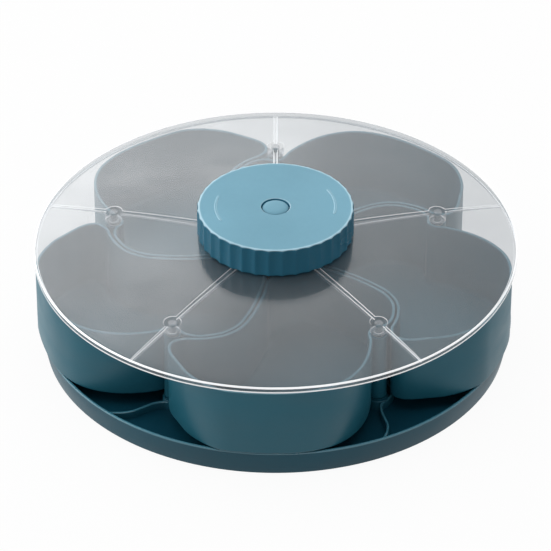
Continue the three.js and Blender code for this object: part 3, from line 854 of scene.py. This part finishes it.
@dataclass
class PetalBowls:
    """The five comma-shaped bowls, each round its pivot sleeve."""

    reach: float = 147.2
    rim: float = 65.4
    bottom: float = 19.7
    wall: float = 1.9
    floor: float = 2.0
    draft: float = 0.4
    foot_round: float = 1.2
    floor_round: float = 3.0
    lip_round: float = 0.6
    seam_gap: float = 1.2
    sleeve_radius: float = 5.3
    sleeve_round: float = 0.5
    sleeve_bottom: float = 19.0
    sleeve_top: float = 64.4
    bore_radius: float = 4.0
    web_reach: float = 15.0
    web_width: float = 6.0
    web_lift: float = 0.1
    web_drop: float = 0.6
    outer_arc: tuple[Point, ...] = (
        (-0.215, -0.9905),
        (-0.15, -1.0035),
        (-0.06, -1.0115),
        (0.03, -1.0125),
        (0.11, -1.0045),
        (0.182, -0.9855),
    )
    right_lobe: tuple[Point, ...] = (
        (0.2447, -0.957),
        (0.298, -0.9135),
        (0.344, -0.852),
        (0.3755, -0.782),
        (0.3935, -0.705),
        (0.399, -0.64),
        (0.3937, -0.587),
        (0.4094, -0.5579),
        (0.4419, -0.5487),
        (0.4796, -0.5068),
    )
    seam: tuple[Point, ...] = (
        (0.498, -0.4552),
        (0.498, -0.3804),
        (0.466, -0.3057),
        (0.4076, -0.2459),
        (0.3363, -0.1902),
        (0.2582, -0.1406),
        (0.1868, -0.1005),
    )
    tip: tuple[Point, ...] = ((0.1311, -0.0815), (0.0781, -0.091), (0.0285, -0.125))
    left_lobe: tuple[Point, ...] = (
        (-0.3295, -0.623),
        (-0.372, -0.6215),
        (-0.408, -0.632),
        (-0.4335, -0.6535),
        (-0.4435, -0.69),
        (-0.4345, -0.735),
        (-0.4045, -0.798),
        (-0.366, -0.8695),
        (-0.3215, -0.921),
        (-0.27, -0.963),
    )

    def outline(self) -> list[Vector]:
        """Outline of the front bowl's rim, anticlockwise from its outer arc."""
        parts = (self.outer_arc, self.right_lobe, self.seam, self.tip, self.left_lobe)
        arc, right_lobe, seam, tip, left_lobe = [[Vector(p) * self.reach for p in part] for part in parts]
        sides = []
        for i, here in enumerate(seam):
            along = (seam[min(i + 1, len(seam) - 1)] - seam[max(i - 1, 0)]).normalized()
            sides.append(Vector((along.y, -along.x)) * self.seam_gap / 2)
        right = [p - side for p, side in zip(seam, sides)]
        turn = Matrix.Rotation(-SECTOR, 2)
        left = [turn @ (p + side) for p, side in zip(seam, sides)][::-1]
        return Outline.smooth([*arc, *right_lobe, *right, *tip, *left, *left_lobe], closed=True, each=5)

    def drafted(self, height: float) -> float:
        """How far the draft has drawn the wall in at a height."""
        return self.draft * (self.rim - height) / (self.rim - self.bottom)

    def sections(self, inwards: float, base: float, turn: float, steps: int) -> list[Point]:
        """The rounded bottom corner of a drafted wall.

        Args:
            inwards: how far the wall stands inside the outline.
            base: height of the flat bottom.
            turn: radius of the rounding.
            steps: how many steps it has.

        Returns:
            Pairs of inset and height, from the bottom up.
        """
        rounding = []
        for step in range(steps + 1):
            angle = math.pi / 2 * step / steps
            height = base + turn * (1 - math.cos(angle))
            rounding.append((inwards + self.drafted(height) + turn * (1 - math.sin(angle)), height))
        return rounding

    def lip(self, inwards: float, way: int) -> list[Point]:
        """The rounded lip on one side of the wall.

        Args:
            inwards: how far that side stands inside the outline.
            way: 1 where the lip rounds inwards, -1 where it rounds outwards.

        Returns:
            Pairs of inset and height, from the bottom up.
        """
        start = self.rim - self.lip_round
        levels = [(inwards + self.drafted(start), start)]
        for angle in (math.radians(degrees) for degrees in (30, 60, 90)):
            lean = self.lip_round * (1 - math.cos(angle))
            levels.append((inwards + way * lean, self.rim - self.lip_round * (1 - math.sin(angle))))
        return levels

    def front_bowl(self) -> bpy.types.Object:
        """The front bowl with its sleeve, its web and its bore."""
        outline = self.outline()
        outside = [*self.sections(0, self.bottom, self.foot_round, 6), *self.lip(0, 1)]
        inside = [
            *self.sections(self.wall, self.bottom + self.floor, self.floor_round, 5),
            *self.lip(self.wall, -1),
            (self.wall - self.lip_round, self.rim + OVERRUN),
        ]
        bowl = Bench.stacked("bowl_front", outline, outside)
        bottom, top = self.sleeve_bottom, self.sleeve_top
        sleeve = Bench.rod("sleeve", self.sleeve_radius, bottom, top, self.sleeve_round, 48)
        Bench.combined(bowl, Bench.at_pivot(sleeve), Cut.JOIN)
        half = self.web_width / 2
        plan = [Vector(p) for p in ((-self.web_reach, -half), (0, -half), (0, half), (-self.web_reach, half))]
        ends = (self.bottom + self.web_lift, top - self.web_drop)
        web = Bench.lofted("web", [Outline.at_height(plan, z) for z in ends])
        Bench.combined(bowl, Bench.at_pivot(web), Cut.JOIN)
        Bench.combined(bowl, Bench.stacked("cavity", outline, inside), Cut.REMOVE)
        bore = Bench.rod("bore", self.bore_radius, bottom - OVERRUN, top + OVERRUN, 0, 40)
        Bench.combined(bowl, Bench.at_pivot(bore), Cut.REMOVE)
        return bowl

    def build(self, finishes: Finishes) -> None:
        """Models the front bowl, copies it round the axis and dresses all five.

        Args:
            finishes: the server's finishes.
        """
        front = self.front_bowl()
        Bench.smoothed(front)
        # faces at the lip take the paler painted highlight
        lip_start = self.rim - self.lip_round - 0.1
        finishes.parted(front, finishes.bowl, (finishes.bowl_lip, lambda at, normal: at.z > lip_start))
        for sector, bowl in zip(Sector, Bench.in_sectors(front, "bowl_")):
            finishes.dress(bowl, Slot.BOWL, f"{sector.label}_bowl", f"petal_{sector.label}")


@dataclass
class DividedTray:
    """The round tray under the bowls, with its S-shaped dividers and its pivot seats."""

    rim_radius: float = 147.3
    foot_radius: float = 144.0
    chamber_radius: float = 142.2
    foot: float = 1.5
    foot_round: float = 1.0
    rim: float = 19.0
    rim_wall: float = 2.0
    rim_round: float = 0.9
    rim_inner_round: float = 0.8
    floor_bottom: float = 9.3
    floor_top: float = 11.3
    floor_round: float = 1.6
    floor_rings: tuple[float, ...] = (130, 112, 80, 50, 25)
    column_radius: float = 11.5
    column_bore: float = 9.3
    column_top: float = 49.6
    column_foot_round: float = 2.0
    column_lip_round: float = 0.6
    root: float = 0.5
    seat_radius: float = 6.5
    seat_bore: float = 4.3
    seat_top: float = 17.6
    seat_round: float = 0.6
    seat_bore_round: float = 0.4
    divider_width: float = 1.6
    divider_height: float = 5.2
    divider_crest: tuple[Point, ...] = ((0, 0.6), (0.15, 0.25), (0.4, 0))
    # heights about the dividers' crest that take the painted highlight
    crest_highlight_band: Point = (-0.7, 0.05)
    divider_start: float = 20.0
    steps: int = 180
    divider_path: tuple[Point, ...] = (
        (1.355, -9.2),
        (1.303, -6.8),
        (1.248, -5.1),
        (1.175, -4.0),
        (1.108, -2.8),
        (1.062, -0.8),
        (1.045, 2.4),
        (1.01, 6.0),
        (0.93, 8.2),
    )

    def shell(self) -> bpy.types.Object:
        """The turned tray with its rolled rim, its floor and its middle column."""
        flare = (self.rim_radius - self.foot_radius) / (self.rim - self.foot)
        wall = self.rim_radius - self.rim_wall
        floor_radius = wall - flare * (self.rim - self.floor_top)
        column = self.column_radius
        profile = [
            (self.chamber_radius, self.foot),
            *Outline.rounded((self.foot_radius, self.foot), self.foot_round, -90, 0, 4),
            *Outline.rounded((self.rim_radius, self.rim), self.rim_round, 0, 90, 5),
            *Outline.rounded((wall, self.rim), self.rim_inner_round, 90, 180, 5),
            *Outline.rounded((floor_radius, self.floor_top), self.floor_round, 0, -90, 5),
            *[(r, self.floor_top) for r in self.floor_rings],
            *Outline.rounded((column, self.floor_top), self.column_foot_round, -90, -180, 5),
            *Outline.rounded((column, self.column_top), self.column_lip_round, 0, 90, 4),
            (self.column_bore, self.column_top),
            (self.column_bore, self.floor_bottom),
            (self.chamber_radius, self.floor_bottom),
        ]
        return Bench.turned("tray", profile, self.steps)

    def divider(self) -> bpy.types.Object:
        """The right-hand divider of the front sector, its crest rounded."""
        pivot = Sector.FRONT.pivot
        path = [Outline.polar(far * PIVOT_RADIUS, pivot + math.radians(turn)) for far, turn in self.divider_path]
        band = Outline.ribbon(Outline.smooth(path, closed=False, each=5), self.divider_width)
        crest = self.floor_top + self.divider_height
        rounding = [(inwards, crest - drop) for inwards, drop in self.divider_crest]
        return Bench.stacked("divider", band, [(0, self.floor_top - self.root), *rounding])

    def seat(self) -> bpy.types.Object:
        """The pivot seat of the front sector, an open boss with rounded edges."""
        base = self.floor_top - self.root
        profile = [
            (self.seat_bore, base),
            (self.seat_radius, base),
            *Outline.rounded((self.seat_radius, self.seat_top), self.seat_round, 0, 90, 4),
            *Outline.rounded((self.seat_bore, self.seat_top), self.seat_bore_round, 90, 180, 3),
        ]
        return Bench.at_pivot(Bench.turned("seat", profile, 48))

    def build(self, finishes: Finishes) -> None:
        """Models the tray and dresses it.

        Args:
            finishes: the server's finishes.
        """
        tray = self.shell()
        hole = Bench.rod("hole", self.seat_bore, self.floor_bottom - OVERRUN, self.floor_top + OVERRUN, 0, 48)
        Bench.combined(tray, Bench.ganged(Bench.in_sectors(Bench.at_pivot(hole), "hole_")), Cut.REMOVE)
        dividers = Bench.in_sectors(self.divider(), "divider_")
        seats = Bench.in_sectors(self.seat(), "seat_")
        tray = Bench.ganged([tray, *dividers, *seats])
        Bench.smoothed(tray)
        low, high = [self.floor_top + self.divider_height + reach for reach in self.crest_highlight_band]
        rim, wall, start = self.rim - self.rim_inner_round, self.chamber_radius, self.divider_start
        floor = self.floor_top + self.floor_round
        finishes.parted(
            tray,
            finishes.tray,
            # the rim's top and the dividers' crests take the paler painted highlight
            (finishes.tray_lip_highlight, lambda at, normal: at.z > rim and at.xy.length > wall),
            (finishes.tray_lip_highlight, lambda at, normal: low < at.z < high and start < at.xy.length < wall),
            # the upward faces of the floor take the darker painted shade
            (finishes.tray_floor_shade, lambda at, normal: at.z < floor and normal.z > 0.2),
        )
        finishes.dress(tray, Slot.TRAY, "base", "base_tray")


@dataclass
class ClearLid:
    """The clear domed lid with its skirt, its five ribs and its five hollow bosses."""

    radius: float = 150.0
    bottom: float = 66.0
    rim: float = 70.0
    rise: float = 10.2
    thickness: float = 2.0
    skirt: float = 1.6
    collar_radius: float = 12.3
    collar_bore: float = 9.8
    collar_bottom: float = 71.4
    collar_top: float = 80.4
    foot: tuple[Point, ...] = ((0.5, 0), (0.15, 0.15), (0, 0.5), (0, 1.2))
    brow: tuple[Point, ...] = ((0, 0.9), (0.1, 0.5), (0.4, 0.15), (0.9, -0.08))
    dome_rings: tuple[float, ...] = (148.2, 146, 140, 130, 118, 104, 90, 76, 62, 48, 34, 22)
    shoulder: tuple[Point, ...] = ((0.7, 0), (0.2, 0.25), (0, 0.7))
    inner_foot: tuple[Point, ...] = ((0, 0.5), (0.15, 0.15), (0.4, 0))
    rib_width: float = 2.2
    rib_edge: float = 0.5
    rib_stations: tuple[Point, ...] = ((11.05, 5.3), (48.7, 3.8), (PIVOT_RADIUS, 2.3), (149.2, 1.2))
    root_round: float = 0.35
    root_lap: float = 0.02
    rib_sink: float = 0.5
    boss_sink: float = 0.6
    boss_radius: float = 5.3
    boss_round: float = 0.6
    boss_bore: float = 2.6
    bore_flare: Point = (1.4, 0.4)
    edge_tilts: Point = (0.25, 0.9)
    steps: int = 192

    def height(self, radius: float) -> float:
        """Height of the lid's upper face at a radius."""
        return self.rim + self.rise * (1 - (radius / self.radius) ** 2)

    def underside(self, radius: float) -> float:
        """Height of the lid's lower face at a radius."""
        return self.height(radius) - self.thickness

    def shell(self) -> bpy.types.Object:
        """The turned dome, skirt and collar."""
        inner, collar, rings = self.radius - self.skirt, self.collar_radius, self.dome_rings
        profile = [
            *[(self.radius - inset, self.bottom + rise) for inset, rise in self.foot],
            *[(self.radius - inset, self.rim - drop) for inset, drop in self.brow],
            *[(r, self.height(r)) for r in (*rings, collar)],
            (collar, self.collar_top),
            (self.collar_bore, self.collar_top),
            (self.collar_bore, self.collar_bottom),
            (collar, self.collar_bottom),
            *[(r, self.underside(r)) for r in (collar, *rings[:1:-1])],
            *[(inner - inset, self.underside(inner) - drop) for inset, drop in self.shoulder],
            *[(inner + inset, self.bottom + rise) for inset, rise in self.inner_foot],
        ]
        return Bench.turned("lid_shell", profile, self.steps)

    def rib(self) -> bpy.types.Object:
        """One rib under the dome, deepest at the collar, its lower edges rounded."""
        half, cut, root = self.rib_width / 2, self.rib_edge, self.root_round
        rings = []
        for radius, depth in Outline.smooth([Vector(p) for p in self.rib_stations], closed=False, each=4):
            under = self.underside(radius)
            low = under - depth
            side = [
                (half + root, under + self.rib_sink),
                (half + root, under + self.root_lap),
                (half, under - root),
                (half, low + cut),
                (half - cut, low),
            ]
            corners = [*side, *[(-y, z) for y, z in reversed(side)]]
            rings.append([Vector((radius * MM, y * MM, z * MM)) for y, z in corners])
        return Bench.lofted("rib", rings)

    def boss(self) -> bpy.types.Object:
        """The boss of one rib, its root and its foot rounded and its top on the dome's slope."""
        under = self.underside(PIVOT_RADIUS)
        foot, root = self.boss_radius, self.root_round
        boss = Bench.turned("boss", [
            (0, self.bottom),
            (foot - self.boss_round, self.bottom),
            (foot, self.bottom + self.boss_round),
            (foot, under - root),
            (foot + root, under + self.root_lap),
            (foot + root, under + self.boss_sink),
            (0, under + self.boss_sink),
        ], 48)
        slope = (self.height(PIVOT_RADIUS + 1) - self.height(PIVOT_RADIUS - 1)) / 2
        for vertex in boss.data.vertices:
            if vertex.co.z / MM > under - 1:
                vertex.co.z += slope * vertex.co.x
        return Bench.shifted(boss, PIVOT_RADIUS)

    def spoke(self) -> bpy.types.Object:
        """The front sector's rib with the hollow boss that it crosses."""
        spoke = self.rib()
        Bench.combined(spoke, self.boss(), Cut.JOIN)
        ceiling = self.underside(PIVOT_RADIUS) - self.rib_sink
        wider, higher = self.bore_flare
        bore = Bench.turned("boss_bore", [
            (0, self.bottom - OVERRUN),
            (self.boss_bore + wider, self.bottom - OVERRUN),
            (self.boss_bore, self.bottom + higher),
            (self.boss_bore, ceiling),
            (0, ceiling),
        ], 48)
        Bench.combined(spoke, Bench.shifted(bore, PIVOT_RADIUS), Cut.REMOVE)
        return Bench.shifted(spoke, turn=Sector.FRONT.pivot)

    def clear_faces(self, lid: bpy.types.Object) -> None:
        """Marks the lid's faces: 0 the sheet, 1 the ribs and bosses under it, 2 the bright rounded edges."""
        flattest, steepest = self.edge_tilts
        for face in lid.data.polygons:
            at = face.center / MM
            reach = math.hypot(at.x, at.y)
            slanted = flattest < abs(face.normal.z) < steepest
            skirt = reach > self.radius - self.skirt - 0.3
            rim_edge = reach > self.radius - 0.8 and not self.bottom + 1 < at.z < self.rim - 0.8
            hanging = not skirt and at.z < self.underside(reach) - 0.1
            if rim_edge or (hanging and slanted):
                face.material_index = 2
            else:
                face.material_index = 1 if hanging else 0

    def build(self, finishes: Finishes) -> None:
        """Models the lid and dresses it.

        Args:
            finishes: the server's finishes.
        """
        lid = self.shell()
        Bench.combined(lid, Bench.ganged(Bench.in_sectors(self.spoke(), "spoke_")), Cut.JOIN)
        lid.name = lid.data.name = "lid_dome"
        # the third finish, on the lid's rounded edges, carries the painted highlight and glow
        finishes.coat(lid, finishes.sheet, finishes.wall, finishes.edge)
        self.clear_faces(lid)
        Bench.smoothed(lid, 40)
        finishes.dress(lid, Slot.CLEAR, "lid", "lid")


@dataclass
class FlutedKnob:
    """The scalloped knob, its top marks and its centre button."""

    radius: float = 48.7
    bottom: float = 80.025
    top: float = 98.925
    plate: float = 3.0
    bore: float = 45.0
    flutes: int = 36
    flute_depth: float = 1.1
    flute_stations: tuple[float, ...] = (-0.04, 0.04, 0.14, 0.3, 0.5, 0.7, 0.86)
    edge_levels: tuple[tuple[float, float, float], ...] = (
        (0, 1, 2.4),
        (0.05, 0.85, 1.2),
        (0.25, 0.62, 0.5),
        (0.6, 0.42, 0.12),
        (1.0, 0.28, 0),
        (2.0, 0, 0),
    )
    foot_levels: tuple[tuple[float, float, float], ...] = ((0.5, 0.9, 0), (0.1, 1, 0.4), (0, 1, 1.0))
    tube_radius: float = 12.1
    tube_bore: float = 10.1
    tube_bottom: float = 84.3
    hole_radius: float = 8.9
    hole_flare: tuple[Point, ...] = ((0, -0.5), (0.15, -0.15), (0.5, 0), (0.5, OVERRUN))
    screw_circle: float = 15.5
    screw_boss: float = 3.6
    screw_bore: float = 1.6
    screw_sink: float = 0.3
    mark_radius: float = 37.0
    mark_width: float = 1.6
    mark_steps: int = 24
    mark_levels: tuple[Point, ...] = ((0, -0.3), (0, 0.14), (0.12, 0.26), (0.4, 0.3))
    mark_spans: tuple[Point, ...] = ((163, 204), (-12, 29))
    button_radius: float = 8.1
    button_lip: float = 9.8
    button_lip_heights: Point = (-2.3, -0.3)
    button_recess: float = 1.3
    button_crown: float = 1.55
    crown_angles: tuple[float, ...] = (0, 8, 20, 35, 50, 65, 78)
    # width of the ring along the knob's top edge that takes the painted highlight
    highlight_band: float = 1.7

    def scalloped(self, inwards: float, share: float) -> list[Vector]:
        """Outline of the grip.

        Args:
            inwards: how far it stands inside the full radius.
            share: how deep the scallops are, as a share of the full depth.

        Returns:
            The outline, a narrow flat ridge half a flute away from the front.
        """
        points = []
        for flute in range(self.flutes):
            for station in self.flute_stations:
                phase = 2 * min(abs(station), 1 - station)
                dip = self.flute_depth * share * (1 - (1 - phase) ** 2)
                angle = FULL_TURN * (flute + 0.5 + station) / self.flutes
                points.append(Outline.polar(self.radius - inwards - dip, angle))
        return points

    def grip(self) -> bpy.types.Object:
        """The hollow scalloped cap with its button tube and its raised marks."""
        top, ceiling = self.top, self.top - self.plate
        levels = [
            *[(d, share, self.bottom + rise) for d, share, rise in self.foot_levels],
            *[(d, share, top - drop) for d, share, drop in self.edge_levels],
        ]
        grip = Bench.lofted("grip", [Outline.at_height(self.scalloped(d, share), z) for d, share, z in levels])
        hollow = Bench.turned("hollow", [
            (0, self.bottom - OVERRUN),
            (self.bore, self.bottom - OVERRUN),
            (self.bore, ceiling - 1),
            (self.bore - 1, ceiling),
            (self.tube_radius, ceiling),
            (self.tube_radius, self.tube_bottom),
            (self.tube_bore, self.tube_bottom),
            (self.tube_bore, ceiling),
            (self.hole_radius, ceiling),
            *[(self.hole_radius + wider, top + rise) for wider, rise in self.hole_flare],
            (0, top + OVERRUN),
        ], 96)
        Bench.combined(grip, hollow, Cut.REMOVE)
        return Bench.ganged([grip, *self.marks(), *self.screw_bosses()])

    def marks(self) -> list[bpy.types.Object]:
        """The two raised arcs on the knob's top."""
        marks = []
        for start, end in self.mark_spans:
            turns = [start + (end - start) * i / self.mark_steps for i in range(self.mark_steps + 1)]
            arc = [Outline.polar(self.mark_radius, math.radians(turn)) for turn in turns]
            levels = [(d, self.top + rise) for d, rise in self.mark_levels]
            marks.append(Bench.stacked("mark", Outline.ribbon(arc, self.mark_width), levels))
        return marks

    def screw_bosses(self) -> list[bpy.types.Object]:
        """The three screw bosses round the button tube."""
        bosses = []
        ends = (self.tube_bottom, self.top - self.plate + self.screw_sink)
        for i in range(3):
            at = Outline.polar(self.screw_circle, FRONT + FULL_TURN * i / 3)
            profile = [
                (self.screw_bore, ends[0]),
                (self.screw_boss, ends[0]),
                (self.screw_boss, ends[1]),
                (self.screw_bore, ends[1]),
            ]
            bosses.append(Bench.shifted(Bench.turned("screw_boss", profile, 32), at.x, at.y))
        return bosses

    def button(self) -> bpy.types.Object:
        """The low domed button with its hidden lip."""
        low, high = [self.top - self.plate + reach for reach in self.button_lip_heights]
        edge = self.top - self.button_recess
        turns = [math.radians(degrees) for degrees in self.crown_angles]
        profile = [
            (0, low),
            (self.button_lip, low),
            (self.button_lip, high),
            (self.button_radius, high),
            *[(self.button_radius * math.cos(a) ** 0.5, edge + self.button_crown * math.sin(a)) for a in turns],
            (0, edge + self.button_crown),
        ]
        return Bench.turned("button", profile, 96)

    def build(self, finishes: Finishes) -> None:
        """Models the knob and its button and dresses them.

        Args:
            finishes: the server's finishes.
        """
        grip = self.grip()
        Bench.smoothed(grip, 30)
        band = self.radius - self.highlight_band
        finishes.parted(
            grip,
            finishes.knob,
            # upright faces take the darker painted shade
            (finishes.grip, lambda at, normal: normal.z < 0.3),
            # the top edge and every slope on the top take the paler painted highlight
            (finishes.knob_edge_highlight, lambda at, normal: at.xy.length > band or normal.z < 0.995),
        )
        for face in grip.data.polygons:
            face.use_smooth = face.normal.z < 0.9999
        finishes.dress(grip, Slot.KNOB, "knob", "knob_grip")
        button = self.button()
        Bench.smoothed(button, 30)
        finishes.dress(button, Slot.KNOB, "button", "knob_button")


@dataclass
class HiddenWorks:
    """The CAD solids that stay: gears, posts, screws, feet and the bottom cover."""

    def build(self, finishes: Finishes) -> None:
        """Gives every CAD node that still shows the material of its slot.

        Args:
            finishes: the server's finishes.
        """
        for row in frame["record"]["subparts"]:
            node = frame["nodes"][row["node"]]
            if node.hide_render:
                continue
            finishes.coat(node, finishes.for_slot(Slot(row["material_slot"])))
            log.info("%s keeps its CAD shape in %s", node.name, row["material_slot"])


@dataclass
class Studio:
    """The pale floor, the soft lamps, the white surround and the camera."""

    floor_size: float = 12.0
    lamps: tuple[tuple[str, float, float, Colour], ...] = (
        ("overhead", 30.0, 2.4, (-0.1, 0.45, 1.5)),
        ("left side", 15.0, 1.8, (-1.7, 0.1, 0.75)),
        ("front fill", 1.2, 1.0, (0.3, -1.8, 0.7)),
    )
    lamp_target: Colour = (0, 0, 0.05)
    floor_shades: Point = (0.3, 0.8)
    floor_glow: float = 0.95
    sky: Colour = (0.95, 0.98, 1)
    sky_light: float = 0.2
    window_place: Colour = (-0.7, 1.9, 1.2)
    window_size: float = 2.9
    window_core: float = 0.3
    window_strength: float = 2.7
    window_noise: Point = (3.2, 1)
    window_stretch: Colour = (1, 1, 0.45)
    window_dimmest: float = 0.35
    camera_place: Colour = (0.0, -2.6274, 1.8967)
    camera_tilt: float = 35.149
    lens: float = 337.1
    far_clip: float = 50.0

    def seen_share(self, nodes: Nodes) -> bpy.types.NodeSocket:
        """1 where the camera, a mirror or clear plastic sees the surface, 0 for the light it sends on."""
        path = nodes.add("ShaderNodeLightPath")
        share = path.outputs["Is Camera Ray"]
        for ray in ("Is Glossy Ray", "Is Transmission Ray"):
            share = nodes.worked("MAXIMUM", share, path.outputs[ray])
        return share

    def floor(self) -> None:
        """A pale floor that shows nearly white and keeps a soft shadow."""
        bpy.ops.object.select_all(action="DESELECT")
        bpy.ops.mesh.primitive_plane_add(size=self.floor_size, location=(0, 0, 0))
        floor = bpy.context.object
        floor.name = "floor"
        nodes = Nodes.named("pale floor")
        seen = self.seen_share(nodes)
        dark, pale = [(shade, shade, shade) for shade in self.floor_shades]
        plain = nodes.add("ShaderNodeBsdfDiffuse", Color=nodes.mixed(seen, dark, pale))
        glow = nodes.add("ShaderNodeEmission", Color=(1, 1, 1, 1), Strength=1.0)
        share = nodes.worked("MULTIPLY", seen, self.floor_glow)
        floor.data.materials.append(nodes.finished(nodes.layered(share, plain, glow)))

    def window(self) -> None:
        """A soft-edged, streaky card that only mirrors and gloss see, for the pale patches on the lid."""
        bpy.ops.object.select_all(action="DESELECT")
        facing = (Vector(self.window_place) * -1).to_track_quat("Z", "Y").to_euler()
        bpy.ops.mesh.primitive_plane_add(size=self.window_size, location=self.window_place, rotation=facing)
        card = bpy.context.object
        card.name = "window card"
        bpy.ops.object.transform_apply(location=True, rotation=True, scale=True)
        nodes = Nodes.named("window card")
        away = nodes.add("ShaderNodeVectorMath", operation="DISTANCE")
        nodes.feed(nodes.place.outputs["Object"], away.inputs[0])
        nodes.feed(self.window_place, away.inputs[1])
        fall = nodes.add(
            "ShaderNodeMapRange",
            interpolation_type="SMOOTHSTEP",
            Value=away.outputs["Value"],
            From_Min=self.window_core,
            From_Max=self.window_size / 2,
            To_Min=self.window_strength,
            To_Max=0.0,
        )
        streaks = nodes.ranged(nodes.noise(*self.window_noise, self.window_stretch), self.window_dimmest, 1.0)
        strength = nodes.worked("MULTIPLY", fall.outputs["Result"], streaks)
        both = nodes.add("ShaderNodeAddShader")
        nodes.feed(nodes.add("ShaderNodeBsdfTransparent").outputs[0], both.inputs[0])
        glow = nodes.add("ShaderNodeEmission", Color=(1, 1, 1, 1), Strength=strength)
        nodes.feed(glow.outputs[0], both.inputs[1])
        material = nodes.finished(both)
        material.cycles.emission_sampling = "NONE"
        card.data.materials.append(material)
        for unseen in ("visible_camera", "visible_diffuse", "visible_transmission", "visible_shadow"):
            setattr(card, unseen, False)

    def surround(self) -> None:
        """A world that shows white and lights softly."""
        world = bpy.data.worlds.new("surround")
        bpy.context.scene.world = world
        nodes = Nodes(world, "ShaderNodeOutputWorld")
        level = nodes.add("ShaderNodeMapRange", Value=self.seen_share(nodes), To_Min=self.sky_light, To_Max=1.0)
        light = nodes.add("ShaderNodeBackground", Color=(*self.sky, 1), Strength=level.outputs["Result"])
        nodes.finished(light)

    def lamp(self, name: str, power: float, size: float, place: Colour) -> bpy.types.Object:
        """A soft square lamp aimed at the server.

        Args:
            name: the lamp's name.
            power: its power, in watts.
            size: its side, in metres.
            place: where it hangs.

        Returns:
            The lamp.
        """
        bpy.ops.object.select_all(action="DESELECT")
        bpy.ops.object.light_add(type="AREA", location=place)
        lamp = bpy.context.object
        lamp.name = name
        lamp.data.shape = "SQUARE"
        lamp.data.size = size
        lamp.data.energy = power
        aim = Vector(self.lamp_target) - Vector(place)
        lamp.rotation_euler = aim.to_track_quat("-Z", "Y").to_euler()
        return lamp

    def camera(self) -> None:
        """The long lens at the photograph's angle."""
        tilt = (math.radians(90 - self.camera_tilt), 0, 0)
        bpy.ops.object.camera_add(location=self.camera_place, rotation=tilt)
        camera = bpy.context.object
        camera.data.lens = self.lens
        camera.data.sensor_width = 36
        camera.data.clip_end = self.far_clip
        bpy.context.scene.camera = camera

    def build(self) -> None:
        """Sets the stage."""
        scene = bpy.context.scene
        scene.view_settings.view_transform = "Standard"
        self.floor()
        self.surround()
        overhead, *_ = [self.lamp(*settings) for settings in self.lamps]
        overhead.visible_glossy = False
        self.window()
        self.camera()
        log.info("stage set")


def main() -> None:
    """Builds the server piece by piece, dresses it and sets the stage."""
    logging.basicConfig(level=logging.INFO, format="%(name)s: %(message)s")
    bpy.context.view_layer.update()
    finishes = Finishes()
    DividedTray().build(finishes)
    PetalBowls().build(finishes)
    ClearLid().build(finishes)
    FlutedKnob().build(finishes)
    HiddenWorks().build(finishes)
    Studio().build()
    log.info("sizes written")


if __name__ == "__main__":
    main()
